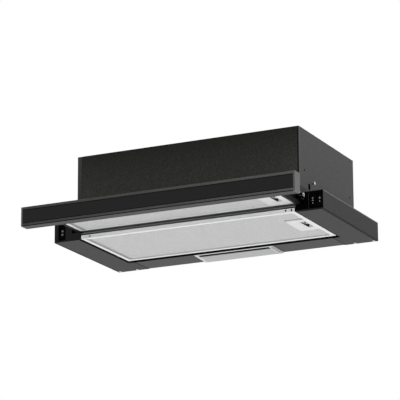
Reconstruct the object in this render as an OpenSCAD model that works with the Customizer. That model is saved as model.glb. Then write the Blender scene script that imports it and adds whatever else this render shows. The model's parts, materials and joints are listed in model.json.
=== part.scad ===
// Pull out range hood, 60 cm wide: a low steel tray with two wings, a motor box on top of it,
// and a drawer with a glass fronted bar that slides out in front of the fixed grease filter.
// X runs across the hood, Y towards the wall and Z up. The origin lies level with the lamp's
// lowest edge, in the middle of the outline that the hood has with its drawer drawn out.

/* [Tray] */
// Width of the tray and of the front bar
hood_w = 598; // [590:1:620]
// Height of the tray from the underside to the deck on its wings
tray_h = 39.5; // [39:0.5:42]
// Thickness of the folded steel sheet
sheet_t = 0.8; // [0.7:0.05:0.9]
// Width of each wing beside the opening in the underside
wing_w = 57.5; // [56:0.5:62]
// Depth of the rear strip behind the opening
rear_strip_d = 64; // [63:1:72]
// Distance of the rear strip's ends from the sides of the opening
strip_inset = 15.5; // [13:0.5:20]
// Step of the rear strip's edge in front of the wings' rear wall
rear_step = 1.5; // [1.2:0.1:2]
// Width of a hem folded back on the sheet
hem_w = 6; // [4:0.5:7]
// Width of the groove between the underside and the side wall
groove_w = 2.2; // [1.4:0.1:2.5]
// Depth of that groove
groove_d = 2.2; // [1:0.1:2.6]
// Height of the upstand on the deck that holds the motor box
upstand_h = 15; // [12:1:16]
// Diameter of the fixing holes in the deck
deck_hole_d = 4.5; // [3.5:0.5:6]
// Distance of the fixing holes from the side of the hood
deck_hole_inset = 26; // [20:1:28]
// Distance of the front fixing holes from the front plane
deck_hole_front = 70; // [50:1:100]
// Distance between the front and the rear fixing holes
deck_hole_pitch = 170; // [120:1:190]

/* [Motor box] */
// Distance of the motor box from the side of the hood
box_inset = 51; // [50.5:0.5:56]
// Distance of the motor box behind the front plane
box_setback = 2.6; // [2:0.2:6]
// Distance of the motor box from the tray's rear wall
box_rear_inset = 1; // [0.6:0.2:3]
// Height of the motor box above the deck
box_h = 137.5; // [135:0.5:150]
// Width of the flanges on the box panels
flange_w = 10; // [8:0.5:11]
// Width of the open seam at the front and rear corners
corner_gap = 1.8; // [0.6:0.1:2]
// Width of the seam beside the left panel's flange
front_seam = 1; // [0.4:0.1:1.4]

/* [Outlet] */
// Diameter of the duct that slides over the outlet collar
duct_d = 120; // [100:1:122]
// Distance of the outlet's axis from the front plane
outlet_y = 170; // [165:1:175]
// Height of the outlet collar above the lid
collar_h = 24; // [20:1:30]
// Thickness of the collar's wall
collar_wall = 2; // [2:0.1:3]
// Width of the collar's flange outside the duct
collar_flange_w = 10; // [8:1:14]
// Height of the seat on which the flaps rest
flap_seat_h = 6; // [5:0.5:8]
// Thickness of a flap
flap_t = 1.2; // [1:0.1:1.5]

/* [Front bar] */
// Height of the front bar
bar_h = 40; // [38:0.5:42]
// Thickness of the front bar from front to back
bar_t = 24; // [20:0.5:26]
// Height of the bar's lower edge above the underside
bar_lift = 2.7; // [2:0.1:4]
// Wall of the bar's aluminium profile
bar_wall = 1.6; // [1.2:0.1:2]
// Radius of the bar's long edges
bar_edge_r = 1.2; // [0.8:0.1:2]
// Height of the glass strip
glass_h = 25.5; // [22:0.5:27]
// Thickness of the glass strip
glass_t = 4; // [3:0.5:5]
// Height of the band of bare profile below the glass
band_h = 7.5; // [6:0.5:9]
// Open line round the glass strip
glass_line = 0.7; // [0.4:0.1:1]
// Thickness of the bar's end caps
cap_t = 3.5; // [2.5:0.5:5]

/* [Drawer] */
// How far the drawer slides out
travel = 113.7; // [100:0.1:120]
// Height of the drawer's lower lips above the underside
drawer_lift = 16.5; // [16:0.5:17]
// Width of the lip on which the drawer's filter hangs
lip_w = 4; // [3.5:0.1:4.5]
// Length of the drawer that stays behind the front plane when it is out
drawer_tail = 18; // [16:1:24]
// Height of the light rail behind the drawer's filter
rear_rail_lift = 13; // [12.5:0.1:14]
// Thickness of that rail
rear_rail_t = 1.2; // [1:0.1:1.6]

/* [Slides] */
// Width of a slide's outer rail
rail_w = 7.8; // [7:0.1:9]
// Height of a slide's outer rail
rail_h = 11.9; // [11:0.1:13]
// Wall of a slide's outer rail
rail_wall = 1.2; // [1:0.1:1.4]
// Height of the lips that close the rail's mouth
rail_lip = 3.2; // [2.6:0.1:3.4]
// Distance from the drawer's side wall to the rail
rail_standoff = 7.5; // [6:0.5:9]
// Length of the outer rail
rail_len = 262; // [240:1:270]
// Length of the inner slide
slider_len = 206; // [180:1:210]

/* [Filters] */
// Thickness of a filter
filter_t = 7.8; // [7.4:0.1:8.2]
// Depth of the fixed filter
main_filter_d = 210; // [200:1:212]
// Open gap beside the fixed filter
filter_gap = 4; // [3:0.1:5]
// Open gap behind the fixed filter
rear_gap = 10; // [8:0.5:11]
// Open gap beside the drawer's filter
drawer_filter_gap = 1.8; // [1.6:0.1:2.4]
// Visible width of a filter's frame
frame_border = 9; // [7:0.5:11]
// The same at the rear of the drawer's filter
drawer_rear_border = 3; // [3:0.5:9]
// Height of the fold round the frame's window
frame_lip_h = 1.8; // [1.4:0.1:2.2]
// Thickness of the frame's aluminium
frame_t = 0.8; // [0.6:0.1:1]
// Radius of the frame's inner corners
frame_corner_r = 6; // [3:0.5:9]
// Width of the latch plate across the hood
plate_w = 41; // [38:1:46]
// Length of the latch plate along the filter's edge
plate_l = 82; // [76:1:88]
// Open gap in front of the latch plate
plate_front_gap = 4.5; // [3:0.5:6]
// Width of the finger pull in the latch plate
pull_w = 12; // [10:0.5:13]
// Length of the finger pull
pull_l = 45; // [35:1:50]
// Travel of a latch
latch_travel = 4; // [3.6:0.1:4.4]

/* [Controls] */
// Distance between the middles of two rockers
rocker_pitch = 14.8; // [14:0.1:15]
// Height of a rocker
rocker_h = 26.4; // [24:0.2:26.8]
// Tilt of a rocker to each side
rocker_tilt = 7; // [4:0.5:8]
// Distance of a switch's middle from the side of the hood
switch_inset = 16.5; // [16.4:0.1:17]
// Height of a switch's middle above the underside
switch_lift = 20; // [19:0.5:21]

/* [Lamp] */
// Width of the lamp
lamp_w = 180; // [150:1:200]
// Shift of the lamp to the left
lamp_shift = 1; // [0:0.5:2]
// Open gap at the lamp's right end
lamp_side_gap = 1.8; // [0.4:0.1:2.4]
// Depth of the lamp from front to back
lamp_d = 58; // [50:1:58]
// Height of the lamp's body
lamp_h = 16; // [12:1:20]
// How far the lamp's rear edge hangs below the underside
lamp_drop = 2.6; // [2:0.1:4]
// Width of the open slit in front of the lens
slit_w = 8.4; // [4:0.2:10]
// Number of light emitting diodes
led_count = 10; // [4:1:14]

/* [Fan] */
// Distance of the fan's axis from the front plane
fan_y = 126; // [122:1:130]
// Height of the fan's axis above the underside
fan_z = 114; // [113:0.5:116]
// Outer radius of the fan wheel
wheel_r = 48; // [44:0.5:48.5]
// Length of the fan wheel along its axis
wheel_len = 104; // [90:1:106]
// Number of blades
blade_count = 32; // [20:1:40]
// Radial depth of a blade
blade_d = 8.5; // [7:0.5:9]
// Thickness of a blade
blade_t = 1; // [0.8:0.1:1.2]
// Least radius of the scroll, at its tongue
scroll_r0 = 52; // [51:0.5:53]
// Greatest radius of the scroll, where the air leaves it
scroll_r1 = 76; // [70:1:78]
// Thickness of the scroll's wall
scroll_wall = 2; // [1.5:0.1:2.5]
// Radius of the motor
motor_r = 35; // [28:0.5:36]
// Radius of the motor's shaft
shaft_r = 4; // [3:0.5:5]

/* [Hidden] */
$fn = 64;

// Overrun of every cut
cut = 1;
// Clearance between pieces that are fixed side by side
fit = 0.3;
// Clearance between pieces that slide past each other
run = 0.6;
// Seam between the panels of the motor box
seam = 0.1;
// Radial clearance of a turning pin or shaft
pin_play = 0.06;

// Half widths that many pieces share
hood_hw = hood_w / 2;
opening_hw = hood_hw - wing_w;
strip_hw = opening_hw - strip_inset;
box_hw = hood_hw - box_inset;
filter_hw = opening_hw - filter_gap;

// Depths from the front plane
main_filter_y = 1;
opening_d = main_filter_y + main_filter_d + rear_gap;
tray_d = opening_d + rear_strip_d;

// The front plane lies at frame_y in the part's frame
closed_gap = 0.3;
frame_y = (bar_t + closed_gap + travel - tray_d) / 2;

// Places of the motor box
box_y0 = box_setback;
box_y1 = tray_d - box_rear_inset;
box_top = tray_h + box_h;
lid_z = box_top - sheet_t;
side_y0 = box_y0 + sheet_t + seam;
side_y1 = box_y1 - sheet_t - seam;
upstand_x = box_hw + fit;

// Bend radius of the sheet and the steps of each bend
bend_r = 1.5 * sheet_t;
bend_steps = 3;

// Drawer, from the side wall to the slides
drawer_y0 = -travel - closed_gap;
drawer_hw = filter_hw + drawer_filter_gap + lip_w;
drawer_top_z = tray_h - 2 * sheet_t - 1.5 * run - 0.7 * fit;
side_flange_w = 11;
top_flange_h = 14;
rear_rail_h = 17;
rear_rail_d = 14;

// Slides
rail_x0 = drawer_hw + rail_standoff;
rail_x1 = rail_x0 + rail_w;
rail_z1 = tray_h - 2 * sheet_t - fit;
rail_z0 = rail_z1 - rail_h;
rail_mid = (rail_z0 + rail_z1) / 2;
rail_y0 = 1;
rail_bend_r = 2;
slider_web_t = 1.8;
slider_foot_t = 1.2;
slider_y0 = drawer_y0 + sheet_t + run;

// Bracket that carries a slide
bracket_foot_w = 10;
bracket_top_w = 8;

// Front panels
panel_recess = 1;
panel_t = 2.4;
panel_depth = 15;
panel_rim = 1.6;
apron_gap = 1.7;
apron_x = filter_hw + apron_gap;
apron_z = drawer_lift - 1.5 * run;
tall_x = rail_x1 + sheet_t;
panel_x1 = hood_hw - sheet_t - fit;
panel_z0 = sheet_t + fit;
panel_z1 = tray_h - sheet_t - fit;

// Switch housings and rockers
bezel_t = 0.8;
bezel_rim_x = 0.6;
bezel_rim_z = 1.2;
bezel_y = panel_recess - bezel_t;
switch_wall = 0.8;
switch_depth = 14;
rocker_play = 0.4;
rocker_w = rocker_pitch - 2 * switch_wall - 2 * rocker_play;
rocker_recess = 2.2;
rocker_dip = 1;
rocker_depth = 7;
rocker_back_h = 16;
rocker_pivot = 7.8;
rocker_pin_r = 1.6;
rocker_pin_bite = 0.6;
switch_hole_h = rocker_h + 1.8;
switch_x = hood_hw - switch_inset;

// Rear screws in the underside, as distances from the side and the rear wall
strip_seam = 0.6;
tray_screw_inset = [7, 48];
tray_screw_rear = 8;
tray_screw_r = 1.6;
tray_screw_head_r = 3.2;
tray_screw_head_h = 1.8;
tray_screw_len = 7;
head_share = 0.75;

// Screws through the upstand into the motor box
box_screw_y_shares = [0.12, 0.4, 0.68, 0.94];
box_screw_lift = 8;
box_screw_r = 1.6;
box_screw_head_r = 3.2;
box_screw_head_h = 1.8;
box_screw_len = 5;

// Holes in the side of the motor box: two small ones, a slot and the fixing screw's
side_hole_r = 2.2;
side_hole_lift = 53;
side_hole_front = 25.6;
side_hole_rear = 24;
slot_y = 48.2;
slot_w = 10;
slot_h = 12;
slot_lift = 17.5;
fixing_y = 69.7;
fixing_lift = 36;
fixing_hole_r = 4.4;
fixing_screw_r = 3.1;
fixing_screw_proud = 3;
fixing_plate = 16;
fixing_plate_t = 2;

// Outlet collar and flaps
collar_r = duct_d / 2;
collar_flange_t = 2.5;
collar_bore_r = collar_r - collar_wall;
flap_seat_w = 3.5;
flap_seat_t = 1.6;
flap_r = collar_bore_r - run;
knuckle_r = 1.5;
knuckle_gap = 3;
knuckle_hl = collar_bore_r - 0.8;
flap_pin_r = 1.2;
flap_pin_hl = collar_bore_r + 0.9;
flap_z = box_top + flap_seat_h + fit;
flap_axis_z = flap_z + knuckle_r;

// Latch plates, latches and tongues of the filters
plate_x1 = filter_hw - frame_border - fit;
plate_x0 = plate_x1 - plate_w;
plate_skin = 1;
plate_set = 0.2;
plate_corner_r = 5;
pull_x1 = plate_x1 - 4;
pull_x0 = pull_x1 - pull_w;
pull_depth = 5.2;
pull_slope = 5;
pull_shift = -2;
tab_l = 5;
tab_w = 3.2;
latch_bar_t = 1.4;
latch_bar_play = 2.5;
latch_stem_w = 8;
latch_stem_t = 1;
latch_stem_z = plate_set + pull_depth + seam;
bolt_w = 10;
bolt_lift = frame_t + 2 * seam;
keeper_l = 14;
bolt_t = 2.6;
bolt_len = 7;
bolt_over = 3;
guide_w = 24;
tongue_w = 12;
tongue_t = 1;
tongue_y_shares = [0.22, 0.78];
main_tongue_len = filter_gap + 4.5;
drawer_tongue_len = drawer_filter_gap + 2.7;
mesh_gap = 0.2;
mesh_inset = 3;
mesh_layers = 3;
mesh_t = 0.7;

// Heights and places of the two filters
main_filter_z = 2 * sheet_t + fit;
drawer_filter_z = drawer_lift + sheet_t + fit;
drawer_filter_y0 = drawer_y0 + sheet_t + run;
drawer_filter_y1 = -1.5;
drawer_filter_d = drawer_filter_y1 - drawer_filter_y0;
lip_hole_r = 2;
lip_hole_inset = 19.5;
lip_oval_inset = 7;
lip_oval_h = 5;
lip_oval_w = 3;

// Lamp
lamp_x0 = -lamp_w / 2 - lamp_shift;
lamp_x1 = lamp_w / 2 - lamp_shift;
lamp_gap = 1.6;
lamp_y0 = opening_d + lamp_gap;
lamp_y1 = lamp_y0 + lamp_d;
lamp_wall = 1.6;
lamp_floor = 2.2;
lamp_lip = 6;
lamp_end_left = 7.5;
lamp_end_right = 11;
lamp_bar = 1.4;
lens_flange = 1.4;
lens_flange_t = 1.2;
rib_count = 5;
rib_w = 1;
rib_d = 1.5;
board_t = 1.6;
board_w = 12;
board_z = 11;
led_size = 3;
led_t = 0.8;

// Rear strip
strip_front_h = 30;

// Fan, motor and scroll
tongue_angle = 80;
spiral_steps = 28;
scroll_hw = wheel_len / 2 + 4;
inlet_r = wheel_r - blade_d + 2;
inlet_lip_r = 2;
outlet_flange = 8;
outlet_flange_t = 2;
ring_t = 2;
disc_t = 2;
hub_r = 8;
hub_len = 14;
motor_gap = 3;
motor_len = wheel_len / 2 - hub_len / 2;
motor_cap_r = 24;
motor_cap_t = 4;
bracket_arm_w = 10;
bracket_t = 2;
shaft_end = 5;

// Electrical pieces under the lid
capacitor_r = 15;
capacitor_len = 52;
capacitor_inset = 118;
capacitor_rear = 45;
capacitor_x = box_hw - capacitor_inset;
capacitor_y = tray_d - capacitor_rear;
terminal_w = 62;
terminal_d = 40;
terminal_h = 24;
terminal_wall = 2;
gland_inset = 68;
gland_rear = 35;
gland_x = box_hw - gland_inset;
gland_y = tray_d - gland_rear;
gland_r = 9;
gland_h = 8;
gland_flange_r = 12;
gland_flange_t = 2;
gland_bore_r = 3.6;
gland_nut_h = 5;

// Switch that the drawer works
micro_w = 8.6;
micro_l = 28;
micro_h = 14;
micro_y = 34;
micro_z = 6;
lever_t = 0.8;
lever_l = 22;
lever_h = 4;
lever_reach = 4;

// Screws that hold the bar to the drawer
bar_screw_x_shares = [-0.8, -0.27, 0.27, 0.8];
bar_screw_r = 2;
bar_screw_head_r = 3.6;
bar_screw_head_h = 1.8;
bar_screw_len = 6;
bar_screw_drop = 6;
cap_plug = 9;

// Colours
black_paint = [0.13, 0.13, 0.135];
black_gloss = [0.05, 0.05, 0.055];
black_plastic = [0.1, 0.1, 0.1];
bright_steel = [0.75, 0.76, 0.78];
filter_aluminium = [0.8, 0.81, 0.82];
white_plastic = [0.88, 0.88, 0.86];
grey_plastic = [0.45, 0.46, 0.47];

// A corner b between a and c, rounded by an arc of radius r in n steps, for square corners
function round_corner(a, b, c, r, n) =
    let (u = (a - b) / norm(a - b), v = (c - b) / norm(c - b))
    [for (k = [0 : n]) let (q = 90 * k / n) b + r * (u + v) - r * (v * cos(q) + u * sin(q))];

// The same path with every inner corner rounded as a fold in sheet metal
function folded(path, r) =
    let (last = len(path) - 1)
    [path[0],
     for (i = [1 : last - 1]) each round_corner(path[i - 1], path[i], path[i + 1], r, bend_steps),
     path[last]];

// Unit vector square to the line from a to b, on its left
function left_of(a, b) = let (d = (b - a) / norm(b - a)) [-d.y, d.x];

// Point i of a path, moved to the left by t, on the mitre between its two neighbours
function mitre(path, i, t) =
    let (last = len(path) - 1)
    i == 0 ? path[0] + t * left_of(path[0], path[1]) :
    i == last ? path[last] + t * left_of(path[last - 1], path[last]) :
    let (m = left_of(path[i - 1], path[i]), n = left_of(path[i], path[i + 1]))
    path[i] + t * (m + n) / (1 + m * n);

// Section of a sheet of thickness t on the left of a path
module sheet_section(path, t) {
    back = [for (i = [len(path) - 1 : -1 : 0]) mitre(path, i, t)];
    polygon(concat(path, back));
}

// Extrusions of a section along one axis between two places
module along_x(x0, x1) {
    translate([x0, 0, 0]) rotate([90, 0, 90]) linear_extrude(x1 - x0) children();
}
module along_y(y0, y1) {
    translate([0, y1, 0]) rotate([90, 0, 0]) linear_extrude(y1 - y0) children();
}
module along_z(z0, z1) {
    translate([0, 0, z0]) linear_extrude(z1 - z0) children();
}

// Box between two corners
module slab(low, high) {
    translate(low) cube(high - low);
}

// Flat rectangle between two corners, and the same with round corners
module flat(low, high) {
    translate(low) square(high - low);
}
module round_flat(low, high, r) {
    flat([low.x + r, low.y], [high.x - r, high.y]);
    flat([low.x, low.y + r], [high.x, high.y - r]);
    for (x = [low.x + r, high.x - r], y = [low.y + r, high.y - r]) translate([x, y]) circle(r);
}

// Round bar along X or Y from a place
module bar_x(place, r, l) {
    translate(place) rotate([0, 90, 0]) cylinder(h = l, r = r);
}
module bar_y(place, r, l) {
    translate(place) rotate([-90, 0, 0]) cylinder(h = l, r = r);
}

// From the front plane and the underside of the tray to the part's frame, whose Z starts at the
// lamp's lowest edge
module placed() {
    translate([0, frame_y, lamp_drop]) children();
}
// A piece drawn for the right side, put on the left side
module on_left() {
    mirror([1, 0, 0]) children();
}

// Tray

// Section of the right wing: underside, groove, side wall, deck and upstand
wing_foot_x = hood_hw - sheet_t - groove_w;
wing_outline = concat(
    [[opening_hw, 0], [wing_foot_x, 0], [wing_foot_x, groove_d], [hood_hw - sheet_t, groove_d],
     [hood_hw - sheet_t, 0], [hood_hw, 0]],
    round_corner([hood_hw, 0], [hood_hw, tray_h], [upstand_x, tray_h], bend_r, bend_steps),
    [[upstand_x + sheet_t, tray_h], [upstand_x + sheet_t, tray_h + upstand_h],
     [upstand_x, tray_h + upstand_h], [upstand_x, tray_h - sheet_t],
     [hood_hw - sheet_t, tray_h - sheet_t], [hood_hw - sheet_t, groove_d + sheet_t],
     [wing_foot_x - sheet_t, groove_d + sheet_t], [wing_foot_x - sheet_t, sheet_t],
     [opening_hw, sheet_t]]);

function deck_hole_places() =
    [for (y = [deck_hole_front, deck_hole_front + deck_hole_pitch]) [hood_hw - deck_hole_inset, y]];
function tray_screw_places() =
    [for (inset = tray_screw_inset) [hood_hw - inset, tray_d - tray_screw_rear]];
function box_screw_places() =
    [for (s = box_screw_y_shares)
        [upstand_x, box_y0 + s * (box_y1 - box_y0), tray_h + box_screw_lift]];

module tray_wing() {
    difference() {
        union() {
            along_y(0, tray_d) polygon(wing_outline);
            slab([strip_hw, opening_d, 0], [wing_foot_x, tray_d, sheet_t]);
            slab([strip_hw, tray_d - sheet_t, 0], [hood_hw - sheet_t, tray_d, tray_h]);
            slab([opening_hw, panel_depth + fit, sheet_t], [opening_hw + hem_w, opening_d, 2 * sheet_t]);
            keeper_at([opening_hw, main_filter_y + bolt_y(main_filter_d, frame_border), 2 * sheet_t], hem_w);
        }
        for (p = deck_hole_places())
            translate([p.x, p.y, tray_h - sheet_t - cut]) cylinder(h = sheet_t + 2 * cut, d = deck_hole_d);
        for (p = tray_screw_places())
            translate([p.x, p.y, -cut]) cylinder(h = 2 * cut + sheet_t, r = tray_screw_r + pin_play);
        for (p = box_screw_places())
            bar_x(p - [cut, 0, 0], box_screw_r + pin_play, sheet_t + 2 * cut);
    }
}
module tray_left() { color(black_paint) placed() on_left() tray_wing(); }
module tray_right() { color(black_paint) placed() tray_wing(); }

// Rear strip: a channel that carries the lamp and closes the tray's rear
module rear_strip() {
    rear_y = tray_d - rear_step;
    path = [[opening_d, strip_front_h], [opening_d, 0], [rear_y, 0], [rear_y, tray_h],
            [rear_y - flange_w, tray_h]];
    color(black_paint) placed() difference() {
        along_x(-strip_hw + strip_seam, strip_hw - strip_seam) sheet_section(folded(path, bend_r), sheet_t);
        slab([lamp_x0 - fit, lamp_y0 - fit, -cut], [lamp_x1 + lamp_side_gap, lamp_y1 + fit, cut + sheet_t]);
    }
}

// Flat strip that ties the two wings together above the drawer
module tie_strip() {
    color(black_paint) placed()
        slab([-rail_x1 + fit, box_y0, tray_h - 2 * sheet_t],
             [rail_x1 - fit, box_y0 + 2 * flange_w, tray_h - sheet_t]);
}

// Screws from below through the underside, each with a head that narrows away from the sheet
module tray_screws() {
    color(bright_steel) placed() for (side = [-1, 1], p = tray_screw_places())
        translate([side * p.x, p.y, -tray_screw_head_h]) {
            cylinder(h = tray_screw_head_h, r1 = head_share * tray_screw_head_r, r2 = tray_screw_head_r);
            cylinder(h = tray_screw_len, r = tray_screw_r);
        }
}

// Motor box

// The left panel's flange lies beside the front panel, on a tab behind the seam between them
module box_front() {
    x0 = -box_hw + flange_w + front_seam;
    tab_y = box_y0 + sheet_t;
    color(black_paint) placed() {
        slab([x0, box_y0, tray_h - sheet_t], [box_hw - corner_gap, tab_y, box_top]);
        slab([x0, box_y0, tray_h - sheet_t], [box_hw - corner_gap, box_y0 + flange_w, tray_h]);
        slab([x0 - flange_w + 2 * bend_r, tab_y, tray_h + seam], [x0 + flange_w, tab_y + sheet_t, lid_z - seam]);
    }
}

module box_rear() {
    flange_hw = box_hw - flange_w - 2 * seam;
    color(black_paint) placed() {
        slab([-box_hw + corner_gap, box_y1 - sheet_t, tray_h], [box_hw - corner_gap, box_y1, box_top]);
        slab([-flange_hw, box_y1 - flange_w, tray_h], [flange_hw, box_y1, tray_h + sheet_t]);
    }
}

module box_side(front_y) {
    path = [[box_hw - flange_w, front_y], [box_hw, front_y], [box_hw, side_y1],
            [box_hw - flange_w, side_y1]];
    through = sheet_t + 2 * cut;
    from_x = box_hw - sheet_t - cut;
    difference() {
        along_z(tray_h + seam, lid_z - seam) sheet_section(folded(path, bend_r), sheet_t);
        for (y = [box_y0 + side_hole_front, box_y1 - side_hole_rear])
            bar_x([from_x, y, tray_h + side_hole_lift], side_hole_r, through);
        bar_x([from_x, box_y0 + fixing_y, tray_h + fixing_lift], fixing_hole_r, through);
        slab([from_x, box_y0 + slot_y - slot_w / 2, tray_h + slot_lift],
             [from_x + through, box_y0 + slot_y + slot_w / 2, tray_h + slot_lift + slot_h]);
        for (p = box_screw_places()) bar_x([from_x, p.y, p.z], box_screw_r + pin_play, through);
    }
}
module box_left() { color(black_paint) placed() on_left() box_side(box_y0); }
module box_right() { color(black_paint) placed() box_side(side_y0); }

module box_lid() {
    color(black_paint) placed() along_z(lid_z, box_top) difference() {
        flat([-box_hw, side_y0], [box_hw, side_y1]);
        translate([0, outlet_y]) circle(collar_bore_r);
        translate([-gland_x, gland_y]) circle(gland_r - fit);
    }
}

// Screws through the upstands into the box sides
module box_screws() {
    color(bright_steel) placed() for (side = [0, 1]) mirror([side, 0, 0])
        for (p = box_screw_places()) {
            bar_x(p + [sheet_t, 0, 0], box_screw_head_r, box_screw_head_h);
            bar_x(p + [sheet_t - box_screw_len, 0, 0], box_screw_r, box_screw_len);
        }
}

// Screw and nut plate behind the large hole in each box side
module fixing_screws() {
    plate_x = box_hw - sheet_t - fixing_plate_t;
    middle = [plate_x, box_y0 + fixing_y, tray_h + fixing_lift];
    half = fixing_plate / 2;
    color(bright_steel) placed() for (side = [0, 1]) mirror([side, 0, 0]) {
        slab(middle - [0, half, half], middle + [fixing_plate_t, half, half]);
        bar_x(middle, fixing_screw_r, fixing_plate_t + sheet_t + fixing_screw_proud);
    }
}

// Slides

module slide_bracket() {
    top = tray_h - sheet_t;
    path = [[rail_x1 + bracket_top_w, top], [rail_x1, top], [rail_x1, sheet_t],
            [rail_x1 + bracket_foot_w, sheet_t]];
    along_y(panel_depth + run, tray_d - sheet_t - fit) sheet_section(folded(path, bend_r), sheet_t);
}
module slide_bracket_left() { color(bright_steel) placed() on_left() slide_bracket(); }
module slide_bracket_right() { color(bright_steel) placed() slide_bracket(); }

module slide_rail() {
    path = [[rail_x0, rail_z0 + rail_lip + rail_bend_r / 2], [rail_x0, rail_z0], [rail_x1, rail_z0],
            [rail_x1, rail_z1], [rail_x0, rail_z1], [rail_x0, rail_z1 - rail_lip - rail_bend_r / 2]];
    along_y(rail_y0, rail_y0 + rail_len) sheet_section(folded(path, rail_bend_r), rail_wall);
}
module slide_rail_left() { color(bright_steel) placed() on_left() slide_rail(); }
module slide_rail_right() { color(bright_steel) placed() slide_rail(); }

// Moving member: a foot on the drawer's side, a web through the rail's mouth and a head that
// stands up from the web inside the rail
module slider() {
    foot_hh = rail_h / 2 - run;
    head_x0 = rail_x0 + rail_wall + run;
    head_x1 = rail_x1 - rail_wall - run;
    head_hh = rail_h / 2 - rail_wall - run;
    along_y(slider_y0, slider_y0 + slider_len) {
        flat([drawer_hw, rail_mid - foot_hh], [drawer_hw + slider_foot_t, rail_mid + foot_hh]);
        flat([drawer_hw, rail_mid - slider_web_t / 2], [head_x1, rail_mid + slider_web_t / 2]);
        flat([head_x0, rail_mid - slider_web_t / 2], [head_x1, rail_mid + head_hh]);
    }
}
module slider_left() { color(bright_steel) placed() on_left() slider(); }
module slider_right() { color(bright_steel) placed() slider(); }

// Front panels, switches and rockers

// Plastic panel in the mouth of a wing, low under the drawer and high beside it, with a corner
// that clears the groove
module front_panel(rockers) {
    notch = [wing_foot_x - sheet_t - fit, groove_d + sheet_t + fit];
    outline = [[apron_x, panel_z0], [notch.x, panel_z0], notch, [panel_x1, notch.y], [panel_x1, panel_z1],
               [tall_x, panel_z1], [tall_x, apron_z], [apron_x, apron_z]];
    body = switch_body_half(rockers) + [seam, seam];
    difference() {
        union() {
            along_y(panel_recess, panel_recess + panel_t) polygon(outline);
            along_y(panel_recess, panel_depth) difference() {
                intersection() {
                    polygon(outline);
                    flat([tall_x, panel_z0], [panel_x1, panel_z1]);
                }
                flat([tall_x + panel_rim, notch.y + panel_rim], [panel_x1 - panel_rim, panel_z1 - panel_rim]);
            }
        }
        along_y(-cut, panel_depth + cut)
            flat([switch_x, switch_lift] - body, [switch_x, switch_lift] + body);
    }
}
module front_panel_left() { color(black_plastic) placed() on_left() front_panel(1); }
module front_panel_right() { color(black_plastic) placed() front_panel(2); }

function switch_body_half(rockers) =
    [rockers * rocker_pitch / 2, switch_hole_h / 2 + switch_wall];
function rocker_x(rockers, i) = switch_x + (i - (rockers - 1) / 2) * rocker_pitch;

// Frame of black plastic with one deep pocket and one pair of pivot holes for each rocker
module switch_housing(rockers) {
    middle = [switch_x, switch_lift];
    body = switch_body_half(rockers);
    rim = body + [bezel_rim_x, bezel_rim_z];
    hole = [rocker_pitch / 2 - switch_wall, switch_hole_h / 2];
    difference() {
        union() {
            along_y(bezel_y, panel_recess) flat(middle - rim, middle + rim);
            along_y(panel_recess, bezel_y + switch_depth + switch_wall) flat(middle - body, middle + body);
        }
        for (i = [0 : rockers - 1]) {
            here = [rocker_x(rockers, i), switch_lift];
            along_y(bezel_y - cut, bezel_y + switch_depth) flat(here - hole, here + hole);
            bar_x([here.x - hole.x - rocker_pin_bite - seam, rocker_pivot, switch_lift],
                  rocker_pin_r + pin_play, 2 * (hole.x + rocker_pin_bite + seam));
        }
    }
}
module switch_housing_left() { color(black_gloss) placed() on_left() switch_housing(1); }
module switch_housing_right() { color(black_gloss) placed() switch_housing(2); }

// Rocker with a dished face, on a pin through its middle
module rocker(x, tilt) {
    face_y = bezel_y + rocker_recess;
    half = rocker_h / 2;
    outline = [[face_y, half], [face_y + rocker_dip, 0], [face_y, -half],
               [face_y + rocker_depth, -rocker_back_h / 2], [face_y + rocker_depth, rocker_back_h / 2]];
    pin_hl = rocker_pitch / 2 - switch_wall + rocker_pin_bite;
    translate([x, rocker_pivot, switch_lift]) rotate([tilt, 0, 0]) {
        translate([0, -rocker_pivot, 0]) along_x(-rocker_w / 2, rocker_w / 2) polygon(outline);
        bar_x([-pin_hl, 0, 0], rocker_pin_r, 2 * pin_hl);
    }
}
module power_rocker() { color(black_gloss) placed() rocker(-rocker_x(1, 0), -rocker_tilt); }
module speed_rocker() { color(black_gloss) placed() rocker(rocker_x(2, 0), 0); }
module light_rocker() { color(black_gloss) placed() rocker(rocker_x(2, 1), -rocker_tilt); }

// Lamp

// Places of the lens window, and how far the lamp's lower face hangs at a place
lens_x0 = lamp_x0 + lamp_end_left;
lens_x1 = lamp_x1 - lamp_end_right;
slit_y0 = lamp_y0 + lamp_lip;
lens_y0 = slit_y0 + slit_w + lamp_bar;
lens_y1 = lamp_y1 - lamp_wall;
function lamp_low(y) = -lamp_drop * (y - slit_y0) / (lamp_y1 - slit_y0);

// Open tray of white plastic whose lower face slopes down to the rear: a lip in front, an open
// slit, a window for the lens and a ribbed end
module lamp_housing() {
    rib_pitch = (lamp_end_right - 2 * rib_w) / rib_count;
    rib_y0 = slit_y0 + rib_w;
    rib_y1 = lamp_y1 - rib_w;
    rib = [[rib_y0, lamp_low(rib_y0) - cut], [rib_y1, lamp_low(rib_y1) - cut],
           [rib_y1, lamp_low(rib_y1) + rib_d], [rib_y0, lamp_low(rib_y0) + rib_d]];
    color(white_plastic) placed() difference() {
        along_x(lamp_x0, lamp_x1)
            polygon([[lamp_y0, 0], [slit_y0, 0], [lamp_y1, -lamp_drop], [lamp_y1, lamp_h], [lamp_y0, lamp_h]]);
        slab([lamp_x0 + lamp_wall, lamp_y0 + lamp_wall, lamp_floor],
             [lamp_x1 - lamp_wall, lamp_y1 - lamp_wall, lamp_h + cut]);
        slab([lens_x0, slit_y0, -lamp_drop - cut], [lens_x1, slit_y0 + slit_w, cut + lamp_floor]);
        slab([lens_x0, lens_y0, -lamp_drop - cut], [lens_x1, lens_y1, cut + lamp_floor]);
        for (i = [0 : rib_count - 1])
            along_x(lens_x1 + (i + 1) * rib_pitch, lens_x1 + (i + 1) * rib_pitch + rib_w) polygon(rib);
    }
}

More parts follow.
